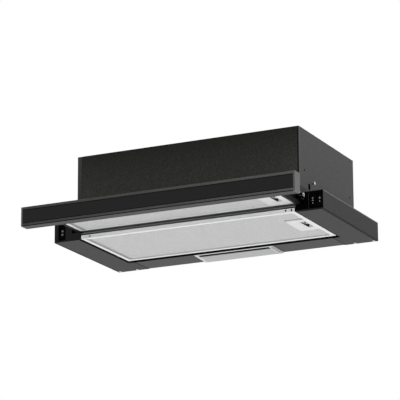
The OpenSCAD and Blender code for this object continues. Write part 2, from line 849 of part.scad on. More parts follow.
module lamp_lens() {
    y0 = lens_y0 + seam;
    y1 = lens_y1 - seam;
    flange_z = lamp_floor + seam;
    top = flange_z + lens_flange_t;
    color(white_plastic) placed() {
        along_x(lens_x0 + seam, lens_x1 - seam)
            polygon([[y0, lamp_low(y0)], [y1, lamp_low(y1)], [y1, top], [y0, top]]);
        slab([lens_x0 - lens_flange, lens_y0 - lamp_bar + seam, flange_z], [lens_x1 + lens_flange, y1, top]);
    }
}

module led_board() {
    middle_y = (lamp_y0 + lamp_y1) / 2;
    x0 = lamp_x0 + lamp_wall + seam;
    x1 = lamp_x1 - lamp_wall - seam;
    pitch = (x1 - x0) / led_count;
    color(white_plastic) placed() {
        slab([x0, middle_y - board_w / 2, board_z], [x1, middle_y + board_w / 2, board_z + board_t]);
        for (i = [0 : led_count - 1]) {
            x = x0 + (i + 0.5) * pitch;
            slab([x - led_size / 2, middle_y - led_size / 2, board_z - led_t],
                 [x + led_size / 2, middle_y + led_size / 2, board_z]);
        }
    }
}

// Outlet collar and its two flaps

module outlet_collar() {
    seat_r = collar_bore_r - flap_seat_w;
    outline = [[collar_bore_r, 0], [collar_r + collar_flange_w, 0],
               [collar_r + collar_flange_w, collar_flange_t], [collar_r, collar_flange_t],
               [collar_r, collar_h], [collar_bore_r, collar_h], [collar_bore_r, flap_seat_h],
               [seat_r, flap_seat_h], [seat_r, flap_seat_h - flap_seat_t],
               [collar_bore_r, flap_seat_h - flap_seat_t]];
    pin_hl = flap_pin_hl + fit;
    color(grey_plastic) placed() difference() {
        translate([0, outlet_y, box_top]) rotate_extrude($fn = 128) polygon(outline);
        for (side = [-1, 1])
            bar_x([-pin_hl, outlet_y + side * knuckle_gap, flap_axis_z], flap_pin_r + pin_play, 2 * pin_hl);
    }
}

// Half disc that hangs on a knuckle along its straight edge; side is -1 in front and 1 behind
module flap(side) {
    axis = [0, outlet_y + side * knuckle_gap, flap_axis_z];
    along_z(flap_z, flap_z + flap_t) intersection() {
        translate([0, outlet_y]) circle(flap_r);
        flat([-collar_r, min(axis.y, axis.y + side * collar_r)],
             [collar_r, max(axis.y, axis.y + side * collar_r)]);
    }
    bar_x(axis - [knuckle_hl, 0, 0], knuckle_r, 2 * knuckle_hl);
    bar_x(axis - [flap_pin_hl, 0, 0], flap_pin_r, 2 * flap_pin_hl);
}
module flap_front() { color(grey_plastic) placed() flap(-1); }
module flap_rear() { color(grey_plastic) placed() flap(1); }

// Fan, scroll and motor

// Outline of the scroll in the plane of Y and Z: a spiral from the tongue round to the outlet
function spiral(grow) =
    [for (k = [0 : spiral_steps])
        let (a = tongue_angle + (360 - tongue_angle) * k / spiral_steps,
             r = scroll_r0 + (scroll_r1 - scroll_r0) * k / spiral_steps + grow)
        [fan_y + r * cos(a), fan_z + r * sin(a)]];
outlet_y0 = fan_y + scroll_r0 * cos(tongue_angle);
outlet_y1 = fan_y + scroll_r1;
function scroll_outline(grow, top) =
    concat(spiral(grow), [[outlet_y1 + grow, top], [outlet_y0 - grow, top]]);

module scroll_half() {
    outer_x = scroll_hw + scroll_wall;
    difference() {
        union() {
            along_x(0, outer_x) polygon(scroll_outline(scroll_wall, lid_z));
            slab([0, outlet_y0 - outlet_flange, lid_z - outlet_flange_t],
                 [outer_x + outlet_flange, outlet_y1 + outlet_flange, lid_z]);
            translate([outer_x, fan_y, fan_z]) rotate([0, 90, 0])
                rotate_extrude() translate([inlet_r + inlet_lip_r, 0]) circle(inlet_lip_r, $fn = 24);
        }
        along_x(-cut, scroll_hw) polygon(scroll_outline(0, lid_z + cut));
        bar_x([0, fan_y, fan_z], inlet_r, outer_x + inlet_lip_r + cut);
    }
}
module scroll_left() { color(grey_plastic) placed() on_left() scroll_half(); }
module scroll_right() { color(grey_plastic) placed() scroll_half(); }

// Forward curved blade: an arc of a circle through the inner and the outer radius
blade_steps = 4;
blade_turn = 70;
function blade_line(offset) =
    [for (k = [0 : blade_steps])
        let (s = k / blade_steps, r = wheel_r - blade_d + (blade_d - ring_t / 4) * s,
             a = blade_turn * s * s / 4)
        [r * cos(a) - offset * sin(a), r * sin(a) + offset * cos(a)]];
module fan_wheel() {
    half = wheel_len / 2;
    front = blade_line(blade_t / 2);
    back = blade_line(-blade_t / 2);
    outline = concat(front, [for (i = [blade_steps : -1 : 0]) back[i]]);
    color(bright_steel) placed() translate([0, fan_y, fan_z]) rotate([90, 0, 90]) difference() {
        union() {
            translate([0, 0, -half]) for (i = [0 : blade_count - 1])
                rotate(i * 360 / blade_count) linear_extrude(wheel_len) polygon(outline);
            for (z = [-half, half - ring_t]) translate([0, 0, z]) linear_extrude(ring_t) difference() {
                circle(wheel_r);
                circle(wheel_r - blade_d + blade_t);
            }
            translate([0, 0, -disc_t / 2]) cylinder(h = disc_t, r = wheel_r);
            translate([0, 0, -hub_len / 2]) cylinder(h = hub_len, r = hub_r);
        }
        translate([0, 0, -hub_len]) cylinder(h = 2 * hub_len, r = shaft_r);
    }
}

// Round motor that stands inside the left half of the wheel, with a stepped end on the outside
module motor() {
    x1 = -hub_len / 2 - motor_gap;
    x0 = x1 - motor_len;
    color(grey_plastic) placed() difference() {
        union() {
            bar_x([x0 + motor_cap_t, fan_y, fan_z], motor_r, motor_len - 2 * motor_cap_t);
            bar_x([x0, fan_y, fan_z], motor_cap_r, motor_len);
        }
        bar_x([x0 - cut, fan_y, fan_z], shaft_r + pin_play, motor_len + 2 * cut);
    }
}

// Three armed bracket from the motor's end to the side of the scroll
module motor_bracket() {
    motor_x = -hub_len / 2 - motor_gap - motor_len;
    scroll_x = -scroll_hw - scroll_wall;
    arm_x1 = min(motor_x, scroll_x) - inlet_lip_r - fit;
    arm_x0 = arm_x1 - bracket_t;
    arm_hw = bracket_arm_w / 2;
    arm_r = inlet_r + 4 * inlet_lip_r + arm_hw;
    color(bright_steel) placed() difference() {
        union() {
            bar_x([arm_x0, fan_y, fan_z], motor_cap_r, motor_x - arm_x0);
            for (a = [90 : 120 : 330]) translate([0, fan_y, fan_z]) rotate([a, 0, 0]) {
                slab([arm_x0, -arm_hw, 0], [arm_x1, arm_hw, arm_r + arm_hw]);
                slab([arm_x0, -arm_hw, arm_r - arm_hw], [scroll_x, arm_hw, arm_r + arm_hw]);
            }
        }
        bar_x([-2 * scroll_hw, fan_y, fan_z], shaft_r + run, 2 * scroll_hw);
    }
}

module motor_shaft() {
    x0 = -hub_len / 2 - motor_gap - motor_len - shaft_end - bracket_t;
    color(bright_steel) placed() bar_x([x0, fan_y, fan_z], shaft_r, hub_len / 2 + shaft_end - x0);
}

// Electrical pieces

module capacitor() {
    color(grey_plastic) placed() translate([capacitor_x, capacitor_y, lid_z - capacitor_len])
        cylinder(h = capacitor_len, r = capacitor_r);
}

module terminal_box() {
    x0 = -gland_x - terminal_w / 2;
    y0 = gland_y - terminal_d / 2;
    color(black_plastic) placed() difference() {
        slab([x0, y0, lid_z - terminal_h], [x0 + terminal_w, y0 + terminal_d, lid_z]);
        slab([x0 + terminal_wall, y0 + terminal_wall, lid_z - terminal_h + terminal_wall],
             [x0 + terminal_w - terminal_wall, y0 + terminal_d - terminal_wall, lid_z + cut]);
    }
}

// Round gland with a bore for the mains lead, clamped in the lid by its nut
module cable_gland() {
    outline = [[gland_bore_r, -gland_nut_h], [gland_r - 2 * fit, -gland_nut_h], [gland_r - 2 * fit, 0],
               [gland_flange_r, 0], [gland_flange_r, gland_flange_t], [gland_r, gland_flange_t],
               [gland_r, gland_h], [gland_bore_r, gland_h]];
    color(black_plastic) placed() translate([-gland_x, gland_y, box_top]) rotate_extrude() polygon(outline);
}

// Small switch on the left bracket whose lever the drawer meets
module drawer_microswitch() {
    x1 = rail_x1;
    color(black_plastic) placed() on_left() {
        slab([x1 - micro_w, micro_y, micro_z], [x1, micro_y + micro_l, micro_z + micro_h]);
        slab([x1 - micro_w - lever_reach, micro_y + micro_l - lever_l, micro_z + micro_h / 2],
             [x1 - micro_w - lever_reach + lever_t, micro_y + micro_l, micro_z + micro_h / 2 + lever_h]);
        slab([x1 - micro_w - lever_reach, micro_y + micro_l - lever_t, micro_z + micro_h / 2],
             [x1 - micro_w, micro_y + micro_l, micro_z + micro_h / 2 + lever_h]);
    }
}

// Front bar

bar_y0 = drawer_y0 - bar_t;
bar_z1 = bar_lift + bar_h;
glass_z0 = bar_lift + band_h;
pocket_low = [bar_y0 - cut, glass_z0 - glass_line];
pocket_high = [bar_y0 + fit + glass_t + seam, glass_z0 + glass_h + glass_line];

module bar_outline() {
    round_flat([bar_y0, bar_lift], [drawer_y0, bar_z1], bar_edge_r);
}

function bar_screw_places() =
    [for (s = bar_screw_x_shares) [s * drawer_hw, drawer_y0, drawer_top_z - bar_screw_drop]];

// Hollow aluminium profile with a shallow pocket for the glass along its front
module front_bar() {
    wall = [bar_wall, bar_wall];
    color(black_paint) placed() difference() {
        along_x(-hood_hw + cap_t, hood_hw - cap_t) difference() {
            union() {
                difference() {
                    bar_outline();
                    flat([bar_y0, bar_lift] + wall, [drawer_y0, bar_z1] - wall);
                }
                flat([bar_y0 + bar_edge_r, pocket_low.y - bar_wall], pocket_high + wall);
            }
            flat(pocket_low, pocket_high);
        }
        for (p = bar_screw_places()) bar_y(p - [0, bar_wall + cut, 0], bar_screw_r, bar_wall + 2 * cut);
    }
}

module front_glass() {
    half = hood_hw - cap_t - seam;
    color(black_gloss) placed()
        slab([-half, bar_y0 + fit, glass_z0], [half, bar_y0 + fit + glass_t, glass_z0 + glass_h]);
}

// Moulded cap with a plug that fits the rear of the hollow profile
module bar_cap() {
    plug_low = [pocket_high.x + bar_wall + fit, bar_lift + bar_wall + fit];
    plug_high = [drawer_y0 - bar_wall - fit, bar_z1 - bar_wall - fit];
    along_x(hood_hw - cap_t, hood_hw) bar_outline();
    along_x(hood_hw - cap_t - cap_plug, hood_hw - cap_t) flat(plug_low, plug_high);
}
module bar_cap_left() { color(black_plastic) placed() on_left() bar_cap(); }
module bar_cap_right() { color(black_plastic) placed() bar_cap(); }

module bar_screws() {
    color(bright_steel) placed() for (p = bar_screw_places()) {
        bar_y(p + [0, sheet_t, 0], bar_screw_head_r, bar_screw_head_h);
        bar_y(p - [0, bar_screw_len, 0], bar_screw_r - pin_play, bar_screw_len + sheet_t);
    }
}

// Drawer

module drawer_side() {
    top = drawer_top_z - sheet_t;
    path = [[drawer_hw - lip_w, drawer_lift], [drawer_hw, drawer_lift], [drawer_hw, top],
            [drawer_hw - side_flange_w, top]];
    along_y(drawer_y0 + bend_r + seam, drawer_tail - bend_r - seam) sheet_section(folded(path, bend_r), sheet_t);
    bolt = drawer_filter_y0 + bolt_y(drawer_filter_d, drawer_rear_border);
    keeper_at([drawer_hw - lip_w, bolt, drawer_lift + sheet_t], lip_w - sheet_t);
}
module drawer_side_left() { color(black_paint) placed() on_left() drawer_side(); }
module drawer_side_right() { color(black_paint) placed() drawer_side(); }

// Vapour screen: a sheet over the filter, folded down at the bar and at the rear
module drawer_top() {
    path = [[drawer_tail, drawer_top_z - top_flange_h], [drawer_tail, drawer_top_z],
            [drawer_y0, drawer_top_z], [drawer_y0, drawer_lift]];
    color(black_paint) placed() difference() {
        along_x(-drawer_hw, drawer_hw) sheet_section(folded(path, bend_r), sheet_t);
        for (p = bar_screw_places()) bar_y(p - [0, cut, 0], bar_screw_r, sheet_t + 2 * cut);
    }
}

// Light rail behind the drawer's filter, riveted to the screen's rear fold
module drawer_rear_rail() {
    y1 = drawer_tail - sheet_t;
    path = [[y1 - rear_rail_d, rear_rail_lift], [y1, rear_rail_lift], [y1, rear_rail_lift + rear_rail_h]];
    color(filter_aluminium) placed() along_x(-filter_hw - fit, filter_hw + fit)
        sheet_section(folded(path, 1.5 * rear_rail_t), rear_rail_t);
}

// Filters: each is drawn with its front edge at Y zero and its lower face at Z zero

// Middle of the latch plate along a filter of the given depth and rear border: as far back as in
// the fixed filter, or as far as the border lets it
function plate_mid(depth, rear) = min(main_filter_d / 2, depth - rear - fit - plate_l / 2);

// Middle of the bolt and of the finger pull
function bolt_y(depth, rear) = plate_mid(depth, rear) + pull_shift;

// Land pressed up under a bolt, from its inner front corner
module keeper_at(place, width) {
    translate(place - [0, keeper_l / 2, 0]) cube([width, keeper_l, bolt_lift]);
}

module plate_outline(depth, rear, grow) {
    y = plate_mid(depth, rear);
    round_flat([plate_x0 - grow, y - plate_l / 2 - grow], [plate_x1 + grow, y + plate_l / 2 + grow],
               plate_corner_r);
}

// Open window of a filter's frame
module window_outline(depth, rear, grow) {
    half = filter_hw - frame_border + grow;
    round_flat([-half, frame_border - grow], [half, depth - rear + grow], frame_corner_r + grow);
}

// Folded channel round the mesh, open above and below, with a fold round its lower window, two
// tongues and a slot for the bolt
module filter_frame(depth, rear, tongue_len) {
    inside = [filter_hw - frame_t, depth - frame_t];
    slot_hw = bolt_w / 2 + fit;
    guide_hw = guide_w / 2 + fit;
    y = bolt_y(depth, rear);
    difference() {
        union() {
            difference() {
                slab([-filter_hw, 0, 0], [filter_hw, depth, filter_t]);
                slab([-inside.x, frame_t, frame_t], [inside.x, inside.y, filter_t - frame_t]);
            }
            along_z(0, frame_lip_h) window_outline(depth, rear, frame_t);
        }
        along_z(-cut, filter_t + cut) window_outline(depth, rear, 0);
        slab([filter_hw - frame_border - cut, y - guide_hw, frame_t],
             [inside.x, y + guide_hw, frame_lip_h + cut]);
        slab([filter_hw - frame_t - cut, y - slot_hw, frame_t],
             [filter_hw + cut, y + slot_hw, bolt_lift + bolt_t + fit]);
        for (x = [-1, 1] * (filter_hw - lip_hole_inset))
            bar_y([x, -cut, filter_t / 2], lip_hole_r, frame_t + 2 * cut);
        slab([filter_hw - lip_oval_inset - lip_oval_w / 2, -cut, (filter_t - lip_oval_h) / 2],
             [filter_hw - lip_oval_inset + lip_oval_w / 2, frame_t + cut, (filter_t + lip_oval_h) / 2]);
    }
    for (s = tongue_y_shares)
        slab([-filter_hw - tongue_len, s * depth - tongue_w / 2, 0],
             [-filter_hw + frame_t, s * depth + tongue_w / 2, tongue_t]);
}

// Stack of sheets of expanded mesh in the frame's channel, cut out round the latch plate
module filter_mesh(depth, rear) {
    side = filter_hw - frame_t - mesh_inset;
    rear_y = depth - frame_t - min(mesh_inset, rear / 3);
    y = bolt_y(depth, rear);
    plate_y0 = plate_mid(depth, rear) - plate_l / 2;
    z0 = frame_lip_h + mesh_gap;
    pitch = (filter_t - frame_t - mesh_gap - mesh_t - z0) / (mesh_layers - 1);
    for (i = [0 : mesh_layers - 1]) translate([0, 0, z0 + i * pitch]) linear_extrude(mesh_t) difference() {
        flat([-side, frame_t + mesh_inset], [side, rear_y]);
        plate_outline(depth, rear, fit);
        flat([plate_x0 - fit, plate_y0 - plate_front_gap], [plate_x1 + fit, plate_y0 + 2 * plate_corner_r]);
        flat([plate_x1 - fit, y - guide_w / 2 - fit], [filter_hw, y + guide_w / 2 + fit]);
    }
}

// Plastic plate in the filter's corner: a sloped finger pull, a slot for the stem and a guide
module latch_plate(depth, rear) {
    top = filter_t - frame_t - mesh_gap;
    y = bolt_y(depth, rear);
    pull = [[pull_x0, plate_set - cut], [pull_x1, plate_set - cut], [pull_x1, plate_set],
            [pull_x1 - pull_slope, plate_set + pull_depth], [pull_x0, plate_set + pull_depth]];
    room_x = pull_x0 - latch_travel - fit;
    bolt_x0 = pull_x1 + plate_skin;
    difference() {
        union() {
            along_z(plate_set, top) plate_outline(depth, rear, 0);
            slab([plate_x1 - cut, y - guide_w / 2, frame_t + seam],
                 [filter_hw - frame_t - fit, y + guide_w / 2, top]);
        }
        along_y(y - pull_l / 2, y + pull_l / 2) polygon(pull);
        slab([room_x, y - pull_l / 2, plate_set + plate_skin],
             [pull_x0 + seam, y + pull_l / 2, plate_set + pull_depth]);
        slab([room_x, y - latch_stem_w / 2 - fit, latch_stem_z - 2 * seam],
             [bolt_x0 + seam, y + latch_stem_w / 2 + fit, top + cut]);
        slab([bolt_x0, y - bolt_w / 2 - fit, frame_t + seam], [filter_hw, y + bolt_w / 2 + fit, top + cut]);
    }
}

// Latch: a finger bar in the pull with a tab at its rear end, a flat stem and a bolt that
// reaches out over the seat
module latch(depth, rear, reach) {
    y = bolt_y(depth, rear);
    bar_hl = pull_l / 2 - latch_bar_play;
    bar_low = plate_set + plate_skin + fit;
    bar_top = plate_set + pull_depth - 2 * seam;
    bolt_x0 = pull_x1 + plate_skin + latch_travel + fit;
    stem_top = latch_stem_z + latch_stem_t - seam;
    slab([pull_x0, y - bar_hl, bar_low], [pull_x0 + latch_bar_t, y + bar_hl, bar_top]);
    slab([pull_x0, y + bar_hl - tab_l, bar_low], [pull_x0 + tab_w, y + bar_hl, bar_top]);
    slab([pull_x0, y - latch_stem_w / 2, bar_top - seam],
         [pull_x0 + latch_bar_t, y + latch_stem_w / 2, stem_top]);
    slab([pull_x0, y - latch_stem_w / 2, latch_stem_z],
         [bolt_x0 + bolt_len / 2, y + latch_stem_w / 2, stem_top]);
    slab([bolt_x0, y - bolt_w / 2, bolt_lift], [bolt_x0 + bolt_len / 2, y + bolt_w / 2, stem_top]);
    slab([bolt_x0, y - bolt_w / 2, bolt_lift], [reach, y + bolt_w / 2, bolt_lift + bolt_t]);
}

module at_main() { placed() translate([0, main_filter_y, main_filter_z]) children(); }
module at_drawer() { placed() translate([0, drawer_filter_y0, drawer_filter_z]) children(); }

module main_filter_frame() {
    color(filter_aluminium) at_main() filter_frame(main_filter_d, frame_border, main_tongue_len);
}
module main_filter_mesh() { color(filter_aluminium) at_main() filter_mesh(main_filter_d, frame_border); }
module main_latch_plate() { color(white_plastic) at_main() latch_plate(main_filter_d, frame_border); }
module main_latch() {
    color(black_plastic) at_main() latch(main_filter_d, frame_border, opening_hw + bolt_over);
}

module drawer_filter_frame() {
    color(filter_aluminium) at_drawer() filter_frame(drawer_filter_d, drawer_rear_border, drawer_tongue_len);
}
module drawer_filter_mesh() {
    color(filter_aluminium) at_drawer() filter_mesh(drawer_filter_d, drawer_rear_border);
}
module drawer_latch_plate() {
    color(white_plastic) at_drawer() latch_plate(drawer_filter_d, drawer_rear_border);
}
module drawer_latch() {
    color(black_plastic) at_drawer() latch(drawer_filter_d, drawer_rear_border, drawer_hw - sheet_t - run);
}

tray_left();
tray_right();
rear_strip();
tie_strip();
box_front();
box_left();
box_right();
box_rear();
box_lid();
slide_bracket_left();
slide_bracket_right();
slide_rail_left();
slide_rail_right();
front_panel_left();
front_panel_right();
switch_housing_left();
switch_housing_right();
power_rocker();
speed_rocker();
light_rocker();
lamp_housing();
lamp_lens();
led_board();
outlet_collar();
flap_front();
flap_rear();
scroll_left();
scroll_right();
motor();
motor_bracket();
fan_wheel();
motor_shaft();
capacitor();
terminal_box();
cable_gland();
drawer_microswitch();
box_screws();
tray_screws();
fixing_screws();
front_bar();
front_glass();
bar_cap_left();
bar_cap_right();
bar_screws();
drawer_side_left();
drawer_side_right();
drawer_top();
drawer_rear_rail();
slider_left();
slider_right();
main_filter_frame();
main_filter_mesh();
main_latch_plate();
main_latch();
drawer_filter_frame();
drawer_filter_mesh();
drawer_latch_plate();
drawer_latch();
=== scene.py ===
import json
import math
import random

import bmesh
import bpy
from mathutils import Matrix, Vector


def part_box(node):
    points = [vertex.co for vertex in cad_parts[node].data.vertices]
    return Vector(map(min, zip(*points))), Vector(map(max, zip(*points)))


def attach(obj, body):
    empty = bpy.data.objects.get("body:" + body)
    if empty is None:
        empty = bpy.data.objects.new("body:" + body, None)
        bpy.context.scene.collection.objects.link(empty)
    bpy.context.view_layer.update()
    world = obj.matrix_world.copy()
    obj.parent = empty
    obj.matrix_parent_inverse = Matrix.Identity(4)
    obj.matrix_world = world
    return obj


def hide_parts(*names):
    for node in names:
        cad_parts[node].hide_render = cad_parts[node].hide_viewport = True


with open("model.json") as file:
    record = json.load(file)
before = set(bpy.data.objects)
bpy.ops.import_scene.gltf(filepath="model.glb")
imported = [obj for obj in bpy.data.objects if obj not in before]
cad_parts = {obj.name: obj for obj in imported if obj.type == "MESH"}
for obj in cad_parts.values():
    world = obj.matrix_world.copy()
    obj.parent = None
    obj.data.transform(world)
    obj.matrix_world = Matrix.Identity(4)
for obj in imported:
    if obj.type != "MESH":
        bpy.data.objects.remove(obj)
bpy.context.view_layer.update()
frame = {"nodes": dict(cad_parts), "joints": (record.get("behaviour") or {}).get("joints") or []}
mm = 0.001


# Camera and studio. The hood hangs above the viewer, who stands in front of it and to its right.
# The light is soft, as over a light table: strong from below and from the right, weak from the
# front and from above. The floor is pale and far below the hood.
scene = bpy.context.scene
scene.view_settings.view_transform = "Standard"

photo_px = 400
focal_px = 2499.57
centre_px = (207.146, 199.536)
sensor_mm = 36
far_limit = 100
azimuth = math.radians(25.601)
elevation = math.radians(-15.348)
roll = math.radians(-0.351)
distance = 5098.7 * mm
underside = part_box("tray_left")[0].z
target = Vector((0, 26.5 * mm, 80 * mm + underside))

camera_data = bpy.data.cameras.new("camera")
camera_data.sensor_width = sensor_mm
camera_data.lens = focal_px * sensor_mm / photo_px
camera_data.shift_x = (photo_px / 2 - centre_px[0]) / photo_px
camera_data.shift_y = (centre_px[1] - photo_px / 2) / photo_px
camera_data.clip_end = far_limit
camera = bpy.data.objects.new("camera", camera_data)
scene.collection.objects.link(camera)
scene.camera = camera
away = Vector((math.sin(azimuth) * math.cos(elevation),
               -math.cos(azimuth) * math.cos(elevation),
               math.sin(elevation)))
level_right = Vector((math.cos(azimuth), math.sin(azimuth), 0))
level_up = away.cross(level_right)
right = math.cos(roll) * level_right + math.sin(roll) * level_up
up = away.cross(right)
turn = Matrix((right, up, away)).transposed().to_4x4()
camera.matrix_world = Matrix.Translation(target + away * distance) @ turn


def feed(node, entry, value):
    """Feeds one entry of a shader node with a plain value or with what comes out of another node."""
    if isinstance(value, bpy.types.NodeSocket):
        node.id_data.links.new(value, node.inputs[entry])
    else:
        node.inputs[entry].default_value = value


def add_node(tree, kind, entries=(), **settings):
    """A new shader node with its settings and with what feeds its entries."""
    node = tree.nodes.new("ShaderNode" + kind)
    for name, value in settings.items():
        setattr(node, name, value)
    for entry, value in dict(entries).items():
        feed(node, entry, value)
    return node


# Each light comes from one direction, with its strength and how tightly it is gathered. The sky
# is plain white where it is seen, and in what metal and glass mirror.
white = (1, 1, 1, 1)
sky_grey = (0.8, 0.8, 0.8, 1)
sky_base = 0.2
sky_lights = (((0, -0.25, -1), 1.35, 3),
              ((1, 0.1, 0.12), 0.95, 1.5),
              ((-0.5, -0.85, -0.35), 0.16, 1),
              ((-0.1, 0.5, 1), 0.5, 2))
world = bpy.data.worlds.new("studio")
scene.world = world
world.use_nodes = True
sky = world.node_tree
sky.nodes.clear()


def sky_math(operation, first, second):
    """One sum of the sky."""
    return add_node(sky, "Math", {0: first, 1: second}, operation=operation).outputs[0]


direction = add_node(sky, "TexCoord").outputs["Generated"]
level = sky_base
for toward, strength, tight in sky_lights:
    facing = add_node(sky, "VectorMath", {0: direction, 1: Vector(toward).normalized()},
                      operation="DOT_PRODUCT").outputs["Value"]
    lobe = sky_math("POWER", sky_math("MAXIMUM", facing, 0), tight)
    level = sky_math("ADD", level, sky_math("MULTIPLY", lobe, strength))
rays = add_node(sky, "LightPath").outputs
shown = sky_math("MAXIMUM", rays["Is Camera Ray"], rays["Is Glossy Ray"])
shown = sky_math("MAXIMUM", shown, rays["Is Transmission Ray"])
lit = add_node(sky, "Background", {"Color": sky_grey, "Strength": level})
seen = add_node(sky, "Background", {"Color": white})
mix = add_node(sky, "MixShader", {"Fac": shown, 1: lit.outputs[0], 2: seen.outputs[0]})
add_node(sky, "OutputWorld", {"Surface": mix.outputs[0]})


def new_finish(name):
    """A new material, and the shader that is its skin."""
    finish = bpy.data.materials.new(name)
    finish.use_nodes = True
    return finish, finish.node_tree.nodes["Principled BSDF"]


floor_hw = 30
floor_z = -5.6
floor_shade = (0.8, 0.8, 0.8, 1)
floor_glow = 0.4
floor_corners = [(x * floor_hw, y * floor_hw, floor_z) for x, y in ((-1, -1), (1, -1), (1, 1), (-1, 1))]
floor_mesh = bpy.data.meshes.new("floor")
floor_mesh.from_pydata(floor_corners, [], [(0, 1, 2, 3)])
floor = bpy.data.objects.new("floor", floor_mesh)
scene.collection.objects.link(floor)
# The floor is only seen: it keeps no light from the hood and adds none to it
floor.visible_diffuse = False
floor.visible_glossy = False
floor.visible_shadow = False
floor_paint, floor_skin = new_finish("pale_floor")
floor_grain = add_node(floor_paint.node_tree, "TexNoise", {"Scale": 40}).outputs["Fac"]
floor_bump = add_node(floor_paint.node_tree, "Bump", {"Strength": 0.05, "Height": floor_grain})
feed(floor_skin, "Base Color", floor_shade)
feed(floor_skin, "Roughness", 0.9)
feed(floor_skin, "Emission Color", white)
feed(floor_skin, "Emission Strength", floor_glow)
feed(floor_skin, "Normal", floor_bump.outputs["Normal"])
floor_mesh.materials.append(floor_paint)


# Tray. Two wings, a rear strip and a tie strip of folded steel sheet, 0.8 mm thick, powder
# coated black after folding. The coat carries painted highlights on folds and painted shade in seams.
def grain_on(finish, size, detail, stretch=(1, 1, 1)):
    """Noise with grains of one size on the object, drawn out along an axis whose stretch is small."""
    tree = finish.node_tree
    place = add_node(tree, "TexCoord").outputs["Object"]
    drawn = add_node(tree, "Mapping", {"Vector": place, "Scale": stretch}).outputs["Vector"]
    return add_node(tree, "TexNoise", {"Vector": drawn, "Scale": 1 / size, "Detail": detail}).outputs["Fac"]


def between(finish, value, low, high, start=0, end=1):
    """What comes out of a node, from a start to an end value, brought between a low and a high one."""
    return add_node(finish.node_tree, "MapRange", {"Value": value, "From Min": start, "From Max": end,
                                                   "To Min": low, "To Max": high}).outputs["Result"]


def colour_by(finish, grain, dark, light, spread):
    """Colours a finish from a dark to a light colour by its grain."""
    ramp = add_node(finish.node_tree, "ValToRGB", {"Fac": grain})
    first, last = ramp.color_ramp.elements
    first.position = 0.5 - spread
    first.color = [*dark, 1]
    last.position = 0.5 + spread
    last.color = [*light, 1]
    feed(finish.node_tree.nodes["Principled BSDF"], "Base Color", ramp.outputs["Color"])


def multiply_colour(finish, factor):
    """Multiplies a finish's colour by a factor that comes out of a node."""
    skin = finish.node_tree.nodes["Principled BSDF"]
    colour = skin.inputs["Base Color"].links[0].from_socket
    product = add_node(finish.node_tree, "VectorMath", {0: colour, 1: factor}, operation="MULTIPLY")
    feed(skin, "Base Color", product.outputs["Vector"])


def raise_grain(finish, grain, strength, height):
    """Raises a finish's skin by its grain."""
    bump = add_node(finish.node_tree, "Bump", {"Strength": strength, "Distance": height, "Height": grain})
    feed(finish.node_tree.nodes["Principled BSDF"], "Normal", bump.outputs["Normal"])


def powder_coat(name, shade, tint=(1, 1, 1), rough=(0.42, 0.56), grain=0.3, gloss=0.16, fleck=0.2):
    """Black powder coat: a fine pebbled skin with small flecks and a faint cloudiness in its shade."""
    cloud_size = 7 * mm
    fleck_size = 2.4 * mm
    pebble_size = 0.9 * mm
    pebble_h = 0.05 * mm
    cloudy = 0.07
    coat, skin = new_finish(name)
    cloud = grain_on(coat, cloud_size, detail=4)
    flecks = grain_on(coat, fleck_size, detail=1)
    pebbles = grain_on(coat, pebble_size, detail=2)
    dark = [shade * (1 - cloudy) * t for t in tint]
    light = [shade * (1 + cloudy) * t for t in tint]
    colour_by(coat, cloud, dark, light, spread=0.18)
    multiply_colour(coat, between(coat, flecks, 1 - fleck, 1 + fleck, start=0.3, end=0.7))
    feed(skin, "Specular IOR Level", gloss)
    feed(skin, "Roughness", between(coat, cloud, *rough))
    raise_grain(coat, pebbles, grain, pebble_h)
    return coat


def dress(node, finish):
    """Gives a carried over part its finish."""
    part = frame["nodes"][node]
    part.data.materials.clear()
    part.data.materials.append(finish)


def shade_within(finish, zones, shade):
    """Paints what lies inside some zones of the frame grey; a zone is a low and high x, y and z."""
    tree = finish.node_tree
    skin = tree.nodes["Principled BSDF"]
    place = add_node(tree, "TexCoord").outputs["Object"]
    along = add_node(tree, "SeparateXYZ", {0: place}).outputs
    for zone in zones:
        inside = 1
        for axis, (low, high) in enumerate(zone):
            near = add_node(tree, "Math", {0: along[axis], 1: (low + high) / 2, 2: (high - low) / 2},
                            operation="COMPARE").outputs[0]
            inside = add_node(tree, "Math", {0: near, 1: inside}, operation="MULTIPLY").outputs[0]
        colour = skin.inputs["Base Color"].links[0].from_socket
        blend = add_node(tree, "Mix", {"Factor": inside, "A": colour, "B": (shade, shade, shade, 1)},
                         data_type="RGBA")
        feed(skin, "Base Color", blend.outputs["Result"])


def both_sides(x, y, z):
    """A zone at the right, and its mirror image at the left."""
    return [(x, y, z), ((-x[1], -x[0]), y, z)]


# A zone reaches past the faces that it paints, so that it takes them in
past = 1 * mm
fold = 0.9 * mm
skirt_h = 39.5 * mm
tray_low, tray_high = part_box("tray_right")
strip_low, strip_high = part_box("rear_strip")
opening_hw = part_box("main_filter_frame")[1].x + 4 * mm
tray_coat = powder_coat("tray_coat", 0.044, gloss=0.07)
tray_y = (tray_low.y, tray_high.y)
lower_z = (underside - past, underside + 2 * mm)
# Painted shade: the groove above the lower fold, the opening's edge and the seam beside the strip are
# painted dark
groove_x = (tray_high.x - 3 * mm, tray_high.x + past)
groove_z = (underside + 0.3 * mm, underside + 2.2 * mm)
opening_x = (opening_hw - 1 * mm, opening_hw + 1.5 * mm)
opening_y = (tray_low.y + 2 * mm, strip_low.y)
seam_x = (strip_high.x, strip_high.x + 3.4 * mm)
seam_y = (strip_low.y, tray_high.y)
shade_within(tray_coat, both_sides(groove_x, tray_y, groove_z), shade=0.003)
shade_within(tray_coat, both_sides(opening_x, opening_y, lower_z), shade=0.004)
shade_within(tray_coat, both_sides(seam_x, seam_y, lower_z), shade=0.001)
